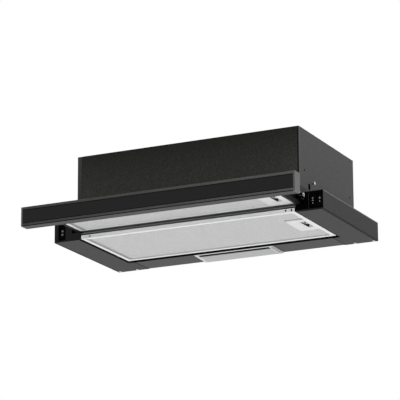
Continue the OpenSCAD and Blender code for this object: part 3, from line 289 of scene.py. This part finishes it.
# Painted highlight: the upper fold of the outer sides is painted bright
upper_fold_x = (tray_high.x - fold, tray_high.x + past)
upper_fold_z = (underside + skirt_h - 2.2 * mm, underside + skirt_h + 0.2 * mm)
shade_within(tray_coat, both_sides(upper_fold_x, tray_y, upper_fold_z), shade=0.2)
for node in ("tray_left", "tray_right", "tie_strip"):
    dress(node, tray_coat)

# Painted highlight and painted shade: the strip's front fold is bright along its lower face and dark on the
# face that it turns up
strip_coat = powder_coat("strip_coat", 0.053, gloss=0.12)
strip_x = (strip_low.x, strip_high.x)
fold_y = (strip_low.y + fold, strip_low.y + 3 * fold)
fold_z = (strip_low.z - past, strip_low.z + 0.5 * mm)
turned_y = (strip_low.y - past, strip_low.y + fold)
turned_z = (strip_low.z + 0.2 * mm, strip_high.z)
shade_within(strip_coat, [(strip_x, fold_y, fold_z)], shade=0.09)
shade_within(strip_coat, [(strip_x, turned_y, turned_z)], shade=0.003)
dress("rear_strip", strip_coat)


# Motor box. A front, two sides, a rear and a lid of the same sheet, flanged and spot welded.
# Its coat is slightly warmer and rougher than the tray's; the sides have a lighter copy of it as painted
# light, and the front is painted darker towards its top as painted shade.
box_tint = (1.02, 1.02, 0.93)
box_rough = (0.5, 0.62)
box_coat = powder_coat("box_coat", 0.05, box_tint, box_rough, grain=0.45, gloss=0.1, fleck=0.3)
front_coat = powder_coat("box_front_coat", 0.05, box_tint, box_rough, grain=0.45, gloss=0.1, fleck=0.26)
# Painted light: the sides' coat is a lighter copy of the sheet's coat
side_coat = powder_coat("box_side_lit_coat", 0.07, rough=(0.48, 0.58), grain=0.35)


def fade_along(finish, axis, start, end, at_start, at_end):
    """Multiplies a coat's shade by a factor that changes evenly between two places of the frame."""
    place = add_node(finish.node_tree, "TexCoord").outputs["Object"]
    along = add_node(finish.node_tree, "SeparateXYZ", {0: place}).outputs[axis]
    multiply_colour(finish, between(finish, along, at_start, at_end, start=start, end=end))


x_axis = 0
z_axis = 2
fade_h = 82 * mm
front_low, front_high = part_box("box_front")
# Painted shade: the front's coat darkens evenly towards its top
fade_along(front_coat, z_axis, front_high.z - fade_h, front_high.z, at_start=1.5, at_end=0.5)
# Painted shade: the front's edges are painted dark, where they lie in the shade of its corner folds
front_x = (front_low.x, front_high.x)
front_y = (front_low.y - past, front_low.y + 1 * mm)
front_z = (front_low.z, front_high.z)
left_edge_x = (front_low.x - past, front_low.x + 4 * mm)
right_edge_x = (front_high.x - 2 * mm, front_high.x + past)
top_edge_z = (front_high.z - 1.6 * mm, front_high.z)
shade_within(front_coat, [(left_edge_x, front_y, front_z), (right_edge_x, front_y, front_z),
                          (front_x, front_y, top_edge_z)], shade=0.003)
# Painted highlight: the sides' front edges are painted a little bright
side_low, side_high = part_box("box_right")
side_x = (side_high.x - 1 * mm, side_high.x + past)
side_y = (side_low.y - past, side_low.y + 3 * mm)
side_z = (side_low.z, side_high.z)
shade_within(side_coat, both_sides(side_x, side_y, side_z), shade=0.12)
dress("box_front", front_coat)
for node in ("box_rear", "box_lid"):
    dress(node, box_coat)
for node in ("box_left", "box_right"):
    dress(node, side_coat)


# Screws. Zinc plated steel with a pressed cross in a low domed head. Those through the
# upstands hold the motor box, those in the underside hold the tray's rear.
def plated_steel(name, shade, rough, streak=(1, 1, 1), metallic=1.0, cool=0.02, mark=1.5 * mm, dull=0.1):
    """Plated or rolled metal, with fine duller marks of one size that run along one axis."""
    metal, skin = new_finish(name)
    marks = grain_on(metal, mark, detail=5, stretch=streak)
    kept = 1 - dull
    dark = (shade * (kept - cool), shade * kept, shade * (kept + cool / 2))
    bright = [shade * 1.06] * 3
    colour_by(metal, marks, dark, bright, spread=0.2)
    feed(skin, "Metallic", metallic)
    feed(skin, "Roughness", between(metal, marks, rough * 0.8, rough * 1.25))
    raise_grain(metal, marks, 0.15, 0.02 * mm)
    return metal


def bare_object(name, form):
    """An object from a form in mesh code."""
    mesh = bpy.data.meshes.new(name)
    form.to_mesh(mesh)
    form.free()
    thing = bpy.data.objects.new(name, mesh)
    scene.collection.objects.link(thing)
    return thing


def new_piece(name, form, finish, body):
    """A new piece of the hood from a form in mesh code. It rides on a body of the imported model."""
    piece = bare_object(name, form)
    piece.data.materials.append(finish)
    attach(piece, body)
    return piece


def join_in(whole, form):
    """Adds one form to another."""
    mesh = bpy.data.meshes.new("joined")
    form.to_mesh(mesh)
    form.free()
    whole.from_mesh(mesh)
    bpy.data.meshes.remove(mesh)


def cross_screw(head_r, head_h, shank_r, shank_l, dome):
    """One screw along +Z, its head's top at Z zero, with the cross cut into the head."""
    corners = 24
    outline = [(0, 0), (head_r * 0.45, 0), (head_r * 0.85, -dome), (head_r, -head_h * 0.55),
               (head_r, -head_h), (shank_r, -head_h), (shank_r, -head_h - shank_l), (0, -head_h - shank_l)]
    form = bmesh.new()
    loops = []
    for radius, z in outline:
        angles = [2 * math.pi * k / corners for k in range(corners if radius else 1)]
        loops.append([form.verts.new((radius * math.cos(a), radius * math.sin(a), z)) for a in angles])
    for low, high in zip(loops, loops[1:]):
        for k in range(corners):
            n = (k + 1) % corners
            if len(low) == 1:
                form.faces.new((low[0], high[k], high[n]))
            elif len(high) == 1:
                form.faces.new((low[k], high[0], low[n]))
            else:
                form.faces.new((low[k], high[k], high[n], low[n]))
    bmesh.ops.recalc_face_normals(form, faces=form.faces)
    blank = bare_object("screw_blank", form)

    cross = bmesh.new()
    arm = head_r * 0.55
    width = head_r * 0.16
    depth = head_h * 0.6
    for size in ((arm, width), (width, arm)):
        block = bmesh.ops.create_cube(cross, size=2)["verts"]
        bmesh.ops.scale(cross, verts=block, vec=(*size, depth))
    cutter = bare_object("screw_cutter", cross)
    cutting = blank.modifiers.new("cross", "BOOLEAN")
    cutting.object = cutter
    cutting.operation = "DIFFERENCE"
    cutting.solver = "EXACT"
    cutting.use_self = True
    screw = bmesh.new()
    screw.from_mesh(blank.evaluated_get(bpy.context.evaluated_depsgraph_get()).to_mesh())
    bpy.data.objects.remove(blank)
    bpy.data.objects.remove(cutter)
    return screw


def screw_set(name, screw, places, toward, node):
    """Copies of one screw, each turned by chance, joined into one piece that replaces a node."""
    joined = bmesh.new()
    chance = random.Random(name)
    for place, outward in zip(places, toward):
        copy = screw.copy()
        facing = Vector((0, 0, 1)).rotation_difference(Vector(outward)).to_matrix().to_4x4()
        spin = Matrix.Rotation(chance.uniform(0, math.pi / 2), 4, "Z")
        copy.transform(Matrix.Translation(Vector(place)) @ facing @ spin)
        join_in(joined, copy)
    piece = new_piece(name, joined, screw_zinc, "housing")
    piece.data.shade_smooth()
    piece.data.set_sharp_from_angle(angle=math.radians(40))
    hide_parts(node)


screw_zinc = plated_steel("screw_zinc", 0.72, 0.3)
head_r = 3.2 * mm
head_h = 1.8 * mm
shank_r = 1.6 * mm

# Four screws lie along each side of the motor box
screw_steps = (0, 0.28, 0.56, 0.82)
row_low, row_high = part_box("box_screws")
row_z = (row_low.z + row_high.z) / 2
row_head = row_high.z - row_low.z
row_run = row_high.y - row_low.y - row_head
screw_ys = [row_low.y + row_head / 2 + row_run * step / screw_steps[-1] for step in screw_steps]
upstand_screw = cross_screw(head_r, head_h, shank_r, shank_l=4 * mm, dome=0.5 * mm)
screw_set("upstand_screws", upstand_screw,
          [(side * row_high.x, y, row_z) for side in (-1, 1) for y in screw_ys],
          [(side, 0, 0) for side in (-1, 1) for y in screw_ys], "box_screws")

# Two lie near each rear corner of the tray, with their heads down
pair_gap = 41 * mm
rear_row_low, rear_row_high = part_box("tray_screws")
screw_y = (rear_row_low.y + rear_row_high.y) / 2
screw_xs = (rear_row_high.x - head_r, rear_row_high.x - head_r - pair_gap)
tray_screw = cross_screw(head_r, head_h, shank_r, shank_l=5.2 * mm, dome=0.6 * mm)
screw_set("underside_screws", tray_screw,
          [(side * x, screw_y, rear_row_low.z) for side in (-1, 1) for x in screw_xs],
          [(0, 0, -1)] * 4, "tray_screws")
dress("fixing_screws", screw_zinc)


# Slides. The outer rails are rolled chromed steel, held by bent brackets of zinc plated sheet.
# The moving members are chromed too, and go with the drawer; their foot and web are painted dark as painted
# shade.
along_y = (1, 0.04, 1)
rail_chrome = plated_steel("rail_chrome", 0.75, 0.14, streak=along_y)
slider_chrome = plated_steel("slider_chrome", 0.75, 0.14, streak=along_y)
bracket_zinc = plated_steel("bracket_zinc", 0.55, 0.38, streak=(1, 0.3, 1))
rail_low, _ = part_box("slide_rail_right")
slider_low, slider_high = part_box("slider_right")
# Painted shade: the sliders' foot and web are painted dark
foot_x = (slider_low.x, rail_low.x)
foot_y = (slider_low.y, slider_high.y)
foot_z = (slider_low.z, slider_high.z)
shade_within(slider_chrome, both_sides(foot_x, foot_y, foot_z), shade=0.01)
for side in ("left", "right"):
    dress("slide_rail_" + side, rail_chrome)
    dress("slider_" + side, slider_chrome)
    dress("slide_bracket_" + side, bracket_zinc)


# Front panels. Moulded panels of black plastic close the mouths of the wings, with a fine
# spark eroded skin, and each holds a switch housing with deep set rockers.
def moulded(name, shade, rough, grain=0.2, cell=0.5 * mm, tint=(1, 1, 1), cloudy=0.06, gloss=0.4):
    """Moulded plastic: an even colour with a fine eroded skin and a slight cloud in its gloss."""
    cloud_size = 11 * mm
    plastic, skin = new_finish(name)
    cloud = grain_on(plastic, cloud_size, detail=3)
    dark = [shade * (1 - cloudy) * t for t in tint]
    light = [shade * (1 + cloudy) * t for t in tint]
    colour_by(plastic, cloud, dark, light, spread=0.2)
    feed(skin, "Specular IOR Level", gloss)
    feed(skin, "Roughness", between(plastic, cloud, rough * 0.9, rough * 1.12))
    raise_grain(plastic, grain_on(plastic, cell, detail=2), grain, 0.03 * mm)
    return plastic


# Painted light and shade: the left panel has a lighter copy of the black, the right a darker one
panel_blacks = {"left": moulded("panel_black_lit_left", 0.016, 0.4, gloss=0.1),
                "right": moulded("panel_black_shaded_right", 0.002, 0.4, gloss=0.01)}
switch_black = moulded("switch_black", 0.002, 0.2, grain=0.05, gloss=0.02)
# Painted highlight: the lower edge of the right panel and the inner rims of the housings are painted
# lighter, where they catch some light
panel_low, panel_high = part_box("front_panel_right")
panel_x = (panel_low.x - past, panel_high.x)
panel_y = (panel_low.y - past, panel_low.y + 2 * mm)
panel_z = (panel_low.z - past, panel_low.z + 2.6 * mm)
shade_within(panel_blacks["right"], [(panel_x, panel_y, panel_z)], shade=0.03)
switch_low, switch_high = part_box("switch_housing_right")
rim_x = (switch_low.x - past, switch_low.x + 1.2 * mm)
rim_y = (switch_low.y - past, switch_high.y)
rim_z = (switch_low.z, switch_high.z)
shade_within(switch_black, both_sides(rim_x, rim_y, rim_z), shade=0.03)
for side in ("left", "right"):
    dress("front_panel_" + side, panel_blacks[side])
    dress("switch_housing_" + side, switch_black)
for node in ("power_rocker", "speed_rocker", "light_rocker"):
    dress(node, switch_black)


# Marks on the rockers. White bars and rings for off and on, and bars for the two speeds, are
# printed on the two halves of each dished face.
mark_white = moulded("mark_white", 0.8, 0.5, cell=0.3 * mm)
ink_t = 0.12 * mm
rocker_hh = 13.2 * mm
rocker_dip = 1 * mm
rocker_face_y = -5.4 * mm
joint_of = {joint["name"]: joint for joint in frame["joints"]}


def rocker_marks(name, body, joint, rest_tilt, marks):
    """Marks on one rocker, which turns on its pin; a mark is its height over the pin, kind and size."""
    pin = Matrix.Translation(Vector(joint_of[joint]["pos_m"]))
    tilt = Matrix.Rotation(math.radians(rest_tilt), 4, "X")
    ink = bmesh.new()
    for z, kind, size in marks:
        mark = bmesh.new()
        if kind == "ring":
            pieces = 24
            for k in range(pieces):
                corners = [(r * math.cos(a), y, r * math.sin(a))
                           for a in (2 * math.pi * k / pieces, 2 * math.pi * (k + 1) / pieces)
                           for r in (size * 0.34, size * 0.52) for y in (-ink_t / 2, ink_t / 2)]
                v = [mark.verts.new(corner) for corner in corners]
                for quad in ((0, 2, 6, 4), (1, 5, 7, 3), (2, 3, 7, 6), (0, 4, 5, 1)):
                    mark.faces.new([v[i] for i in quad])
            bmesh.ops.remove_doubles(mark, verts=mark.verts, dist=0.001 * mm)
        else:
            for x in {"bar": (0,), "pair": (-0.3 * size, 0.3 * size)}[kind]:
                block = bmesh.ops.create_cube(mark, size=1)["verts"]
                bmesh.ops.scale(mark, verts=block, vec=(size * 0.22, ink_t, size))
                bmesh.ops.translate(mark, verts=block, vec=(x, 0, 0))
        bmesh.ops.recalc_face_normals(mark, faces=mark.faces)
        lean = Matrix.Rotation(math.copysign(math.atan(rocker_dip / rocker_hh), z), 4, "X")
        seat = Matrix.Translation((0, rocker_face_y + rocker_dip * (1 - abs(z) / rocker_hh), z))
        mark.transform(pin @ tilt @ seat @ lean)
        join_in(ink, mark)
    new_piece(name, ink, mark_white, body)


rocker_marks("speed_marks", "speed_key", "speed_rocker_tilt", 0,
             [(4.8 * mm, "pair", 2.8 * mm), (0.4 * mm, "ring", 2.8 * mm), (-4.6 * mm, "bar", 3 * mm)])
rocker_marks("light_marks", "light_key", "light_rocker_tilt", -7,
             [(3.6 * mm, "ring", 3.6 * mm), (-3.4 * mm, "bar", 3.6 * mm)])
rocker_marks("power_marks", "power_key", "power_rocker_tilt", -7,
             [(3.4 * mm, "pair", 3.4 * mm), (-4.2 * mm, "ring", 4 * mm)])


# Lamp. A moulded tray of white plastic holds a frosted lens over a strip of diodes on a board.
# The slit behind its front lip is open, and its right end has small louvres.
lamp_white = moulded("lamp_white", 0.78, 0.42)
lens_frost = moulded("lens_frost", 0.62, 0.35, grain=0.35, cell=0.7 * mm, tint=(0.98, 1.0, 1.0))
feed(lens_frost.node_tree.nodes["Principled BSDF"], "Transmission Weight", 0.2)
board_white = moulded("board_white", 0.75, 0.5)
lamp_low, lamp_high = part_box("lamp_housing")
lens_low, lens_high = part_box("lamp_lens")
# Painted shade: the slit, the inside above it and the lens's edge beside it are painted dark
front_lip = 5.6 * mm
slit_end = 1.3 * mm
lamp_wall = 1 * mm
through_z = (lamp_low.z - past, lamp_high.z)
slit_x = (lens_low.x + slit_end, lens_high.x - slit_end)
slit_y = (lamp_low.y + front_lip, lens_low.y + 2 * mm)
inside_x = (lamp_low.x + lamp_wall, lamp_high.x - lamp_wall)
inside_y = (lamp_low.y + lamp_wall, lamp_high.y - lamp_wall)
inside_z = (underside + 2.1 * mm, lamp_high.z)
shade_within(lamp_white, [(slit_x, slit_y, through_z), (inside_x, inside_y, inside_z)], shade=0.003)
lens_x = (lens_low.x, lens_high.x)
lens_edge_y = (lens_low.y - past, lens_low.y + 4 * mm)
lens_z = (lens_low.z - past, lens_high.z)
shade_within(lens_frost, [(lens_x, lens_edge_y, lens_z)], shade=0.01)
# Painted shade: dark bands across the lamp's right end, between its louvres
louvres = 6
louvre_pitch = 7.6 * mm
louvre_shade_hw = 1.2 * mm
louvre_shade_x = (lens_high.x + 3.2 * mm, lens_high.x + 8.2 * mm)
louvre_shade_ys = [lamp_low.y + (k + 1) * louvre_pitch for k in range(louvres)]
shade_within(lamp_white, [(louvre_shade_x, (y - louvre_shade_hw, y + louvre_shade_hw), through_z)
                          for y in louvre_shade_ys], shade=0.03)
dress("lamp_housing", lamp_white)
dress("lamp_lens", lens_frost)
dress("led_board", board_white)


# Blower. A scroll in two halves of grey plastic, a galvanised wheel on a steel shaft, and a
# motor that hangs inside the wheel from a three armed bracket, all under the motor box's lid.
scroll_grey = moulded("scroll_grey", 0.28, 0.4)
wheel_zinc = plated_steel("wheel_zinc", 0.6, 0.3, streak=(0.2, 1, 1))
motor_paint = powder_coat("motor_paint", 0.32, rough=(0.4, 0.5))
capacitor_skin = moulded("capacitor_skin", 0.6, 0.3)
wiring_black = moulded("wiring_black", 0.02, 0.35)
for side in ("left", "right"):
    dress("scroll_" + side, scroll_grey)
dress("fan_wheel", wheel_zinc)
dress("motor_shaft", wheel_zinc)
dress("motor_bracket", bracket_zinc)
dress("motor", motor_paint)
dress("capacitor", capacitor_skin)
for node in ("terminal_box", "cable_gland", "drawer_microswitch"):
    dress(node, wiring_black)


# Outlet. A moulded grey collar on the lid for a 120 mm duct, with two half round flaps that
# the air lifts and that fall shut on a ledge.
collar_grey = moulded("collar_grey", 0.22, 0.38)
flap_grey = moulded("flap_grey", 0.26, 0.34)
dress("outlet_collar", collar_grey)
for node in ("flap_front", "flap_rear"):
    dress(node, flap_grey)


# Drawer. Two side walls and a top screen of coated sheet, screwed to the bar. It carries the
# drawer's filter and a light aluminium rail behind it.
drawer_coat = powder_coat("drawer_coat", 0.03)
for node in ("drawer_side_left", "drawer_side_right", "drawer_top"):
    dress(node, drawer_coat)


# Front bar. An extruded aluminium profile, painted a satin black, with a black glass strip
# glued in its front, a moulded grey cap in each end and four screws from the drawer.
bar_tint = (1.04, 1.0, 0.97)
bar_paint = powder_coat("bar_paint", 0.085, bar_tint, rough=(0.34, 0.46), grain=0.15, gloss=0.08)
glass_black = moulded("glass_black", 0.008, 0.1, grain=0.03, cell=9 * mm, cloudy=0.12, gloss=0.18)
cap_grey = moulded("cap_grey", 0.12, 0.45)
bar_low, bar_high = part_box("front_bar")
glass_low, glass_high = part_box("front_glass")
# Painted light and shade: the paint is lighter towards the right end, as a painted reflection, and darker
# underneath, as painted shade
bar_x = (bar_low.x, bar_high.x)
under_y = (bar_low.y + 1 * mm, bar_high.y)
under_z = (bar_low.z - past, bar_low.z + 0.5 * mm)
fade_along(bar_paint, x_axis, *bar_x, at_start=0.95, at_end=1.7)
shade_within(bar_paint, [(bar_x, under_y, under_z)], shade=0.045)
# Painted shade: dark lines run beside the glass and along the lower edges at the front and rear
line_w = 1.5 * mm
edge_w = 1.6 * mm
face_y = (bar_low.y - past, bar_low.y + line_w)
front_edge_y = (bar_low.y - past, bar_low.y + edge_w)
front_edge_z = (bar_low.z - past, bar_low.z + edge_w)
rear_edge_y = (bar_high.y - 4 * mm, bar_high.y + past)
rear_edge_z = (bar_low.z - past, bar_low.z + 1 * mm)
shade_within(bar_paint, [(bar_x, face_y, (glass_high.z, glass_high.z + line_w)),
                         (bar_x, face_y, (glass_low.z - line_w, glass_low.z)),
                         (bar_x, front_edge_y, front_edge_z),
                         (bar_x, rear_edge_y, rear_edge_z)], shade=0.004)
dress("front_bar", bar_paint)
dress("front_glass", glass_black)
for node in ("bar_cap_left", "bar_cap_right"):
    dress(node, cap_grey)
dress("bar_screws", screw_zinc)


# Grease filters. Layers of expanded aluminium mesh in a folded aluminium channel, with a moulded
# white latch plate in one corner. The lowest layer shows, as a net of slit and stretched strands.
along_x = (0.1, 1, 1)
frame_aluminium = plated_steel("frame_aluminium", 0.97, 0.42, streak=along_x, metallic=0.4)
rail_grey = plated_steel("rail_grey", 0.36, 0.5, streak=along_x, metallic=0.4)
net_aluminium = plated_steel("net_aluminium", 0.98, 0.45, metallic=0.4, cool=0, mark=3 * mm, dull=0.3)
layer_aluminium = plated_steel("layer_aluminium", 0.84, 0.5, metallic=0.3, cool=0, mark=3.5 * mm, dull=0.16)
plate_white = moulded("plate_white", 0.93, 0.35)
latch_white_and_shade = moulded("latch_white_and_shade", 0.006, 0.4, gloss=0.03)
# The grip ribs are grey; their grey also stands for painted shade in the deep rear of the finger pull
grip_grey_and_shade = moulded("grip_grey_and_shade", 0.16, 0.4, gloss=0.1)
frame_border = 9 * mm
rear_borders = {"main": 9 * mm, "drawer": 3 * mm}
frame_wall = 0.8 * mm
left_fold = (6.4 * mm, 14 * mm)
rear_fold = (-1.5 * mm, 0.8 * mm)
lip_hole_insets = (19.5 * mm, 7 * mm)
lip_hole_reach = 5 * mm
shaded_folds = []
dark_places = []
for kind in ("main", "drawer"):
    frame_low, frame_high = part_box(kind + "_filter_frame")
    frame_z = (frame_low.z - past, frame_high.z)
    whole_y = (frame_low.y, frame_high.y)
    whole_z = (frame_low.z - past, frame_high.z + past)
    # Painted shade: the channel's inner fold and the mesh beside it are painted grey at the left, where
    # they lie in shade
    shaded_folds.append(((-frame_high.x + left_fold[0], -frame_high.x + left_fold[1]),
                         (frame_low.y + 2 * mm, frame_high.y - rear_borders[kind]), frame_z))
    # Painted shade: the right side and the tongues at the left are painted dark, as they lie in the dark of
    # the gap round the frame
    dark_places.append(((frame_high.x - 0.3 * mm, frame_high.x + past), whole_y, whole_z))
    dark_places.append(((frame_low.x - past, -frame_high.x - 0.2 * mm), whole_y, whole_z))
    if kind == "main":
        # Painted shade: the rear fold is painted grey too; the front lip's upper edge and its two holes are
        # painted dark
        mesh_rear = frame_high.y - frame_border
        shaded_folds.append(((-frame_high.x + frame_border, frame_high.x - frame_border),
                             (mesh_rear + rear_fold[0], mesh_rear + rear_fold[1]), frame_z))
        dark_places.append(((frame_low.x, frame_high.x),
                            (frame_low.y - past, frame_low.y + frame_wall + 1 * mm),
                            (frame_high.z - 0.5 * mm, frame_high.z + past)))
        for inset in lip_hole_insets:
            hole_x = frame_high.x - inset
            dark_places.append(((hole_x - lip_hole_reach, hole_x + lip_hole_reach),
                                (frame_low.y + 0.2 * mm, frame_low.y + frame_border - 0.4 * mm),
                                (frame_low.z + frame_wall + 0.1 * mm, frame_high.z)))
for aluminium in (frame_aluminium, net_aluminium, layer_aluminium):
    shade_within(aluminium, shaded_folds, shade=0.6)
for aluminium in (frame_aluminium, layer_aluminium):
    shade_within(aluminium, dark_places, shade=0.003)

# Painted shade: the latch is dark, and its finger bar is painted white above a dark wedge that grows
# towards the rear in small steps
wedge_steps = 9
wedge_share = 0.85
wedge_start = 0.2 * mm
wedge_rise = 3.6 * mm
bar_face_h = 4.4 * mm
bar_face_t = 1.6 * mm
for kind in ("main", "drawer"):
    latch_low, latch_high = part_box(kind + "_latch")
    finger_x = (latch_low.x - past, latch_low.x + bar_face_t)
    finger_top = latch_low.z + bar_face_h
    step_l = (latch_high.y - latch_low.y) * wedge_share / wedge_steps
    white_steps = []
    for k in range(wedge_steps):
        step_y = latch_low.y + k * step_l
        wedge_top = latch_low.z + wedge_start + wedge_rise * k / wedge_steps
        white_steps.append((finger_x, (step_y, step_y + step_l), (wedge_top, finger_top)))
    shade_within(latch_white_and_shade, white_steps, shade=0.75)

# Painted highlight: the rail behind the drawer's filter is grey, with a band painted bright along its rear
rear_low, rear_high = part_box("drawer_rear_rail")
band_x = (rear_low.x, rear_high.x)
band_y = (rear_high.y - 8 * mm, rear_high.y - 0.5 * mm)
band_z = (rear_low.z - past, rear_low.z + 0.6 * mm)
shade_within(rail_grey, [(band_x, band_y, band_z)], shade=0.8)
dress("drawer_rear_rail", rail_grey)


def expanded_net(name, body, x, y, open_x, open_y, z):
    """A net of zigzag strands over a low and high x and y, left open round the latch plate."""
    cell_x = 6.0 * mm
    cell_y = 3.2 * mm
    strand_w = 0.75 * mm
    strand_t = 0.45 * mm
    columns = int((x[1] - x[0]) / cell_x)
    rows = int((y[1] - y[0]) / cell_y)
    pitch_x = (x[1] - x[0]) / columns
    pitch_y = (y[1] - y[0]) / rows
    half_w = strand_w / 2
    half_t = strand_t / 2
    section = ((-half_w, 0), (half_w, half_t), (half_w, strand_t), (-half_w, half_t))
    net = bmesh.new()
    for row in range(rows):
        previous = None
        for i in range(2 * columns + 1):
            bend_x = x[0] + i * pitch_x / 2
            toward = 1 if (i + row) % 2 else -1
            bend_y = y[0] + (row + 0.5) * pitch_y + toward * (pitch_y - strand_w) / 2
            if open_x[0] < bend_x < open_x[1] and open_y[0] < bend_y < open_y[1]:
                previous = None
                continue
            bend = [net.verts.new((bend_x, bend_y + across, z + lift)) for across, lift in section]
            if previous:
                for k in range(4):
                    n = (k + 1) % 4
                    net.faces.new((previous[k], bend[k], bend[n], previous[n]))
            else:
                net.faces.new(bend[::-1])
            previous = bend
    bmesh.ops.recalc_face_normals(net, faces=net.faces)
    new_piece(name, net, net_aluminium, body)


def grip_ribs(name, body, latch_low, latch_high, plate_z):
    """Five ribs moulded across the rear of the finger pull's slope."""
    ribs = 5
    rib_hw = 0.7 * mm
    rib_pitch = 3 * mm
    rib_inset = 2 * mm
    rib_t = 0.8 * mm
    pull_w = 12 * mm
    pull_slope = 5 * mm
    pull_depth = 5.2 * mm
    start_x = latch_low.x + 4 * mm
    end_x = latch_low.x + pull_w
    ceiling = plate_z + pull_depth
    outline = [(start_x, ceiling), (end_x - pull_slope, ceiling), (end_x, plate_z),
               (end_x - rib_t, plate_z), (end_x - pull_slope - rib_t / 2, ceiling - rib_t),
               (start_x, ceiling - rib_t)]
    form = bmesh.new()
    for rib in range(ribs):
        y = latch_high.y - rib_inset - rib_pitch * rib
        near = [form.verts.new((x, y - rib_hw, z)) for x, z in outline]
        far = [form.verts.new((x, y + rib_hw, z)) for x, z in outline]
        form.faces.new(near)
        form.faces.new(far[::-1])
        for i in range(len(outline)):
            n = (i + 1) % len(outline)
            form.faces.new((near[i], far[i], far[n], near[n]))
    bmesh.ops.recalc_face_normals(form, faces=form.faces)
    new_piece(name, form, grip_grey_and_shade, body)


plate_gap = 4.9 * mm
net_play = 0.4 * mm
for kind in ("main", "drawer"):
    body = kind + "_filter"
    dress(kind + "_filter_frame", frame_aluminium)
    dress(kind + "_filter_mesh", layer_aluminium)
    dress(kind + "_latch_plate", plate_white)
    dress(kind + "_latch", latch_white_and_shade)
    frame_low, frame_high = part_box(kind + "_filter_frame")
    plate_low, plate_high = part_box(kind + "_latch_plate")
    grip_ribs(kind + "_grip_ribs", body, *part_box(kind + "_latch"), plate_low.z)
    expanded_net(kind + "_expanded_net", body,
                 x=(-frame_high.x + frame_border, frame_high.x - frame_border),
                 y=(frame_low.y + frame_border, frame_high.y - rear_borders[kind]),
                 open_x=(plate_low.x - net_play, frame_high.x),
                 open_y=(plate_low.y - plate_gap, plate_high.y + net_play),
                 z=frame_low.z + net_play)
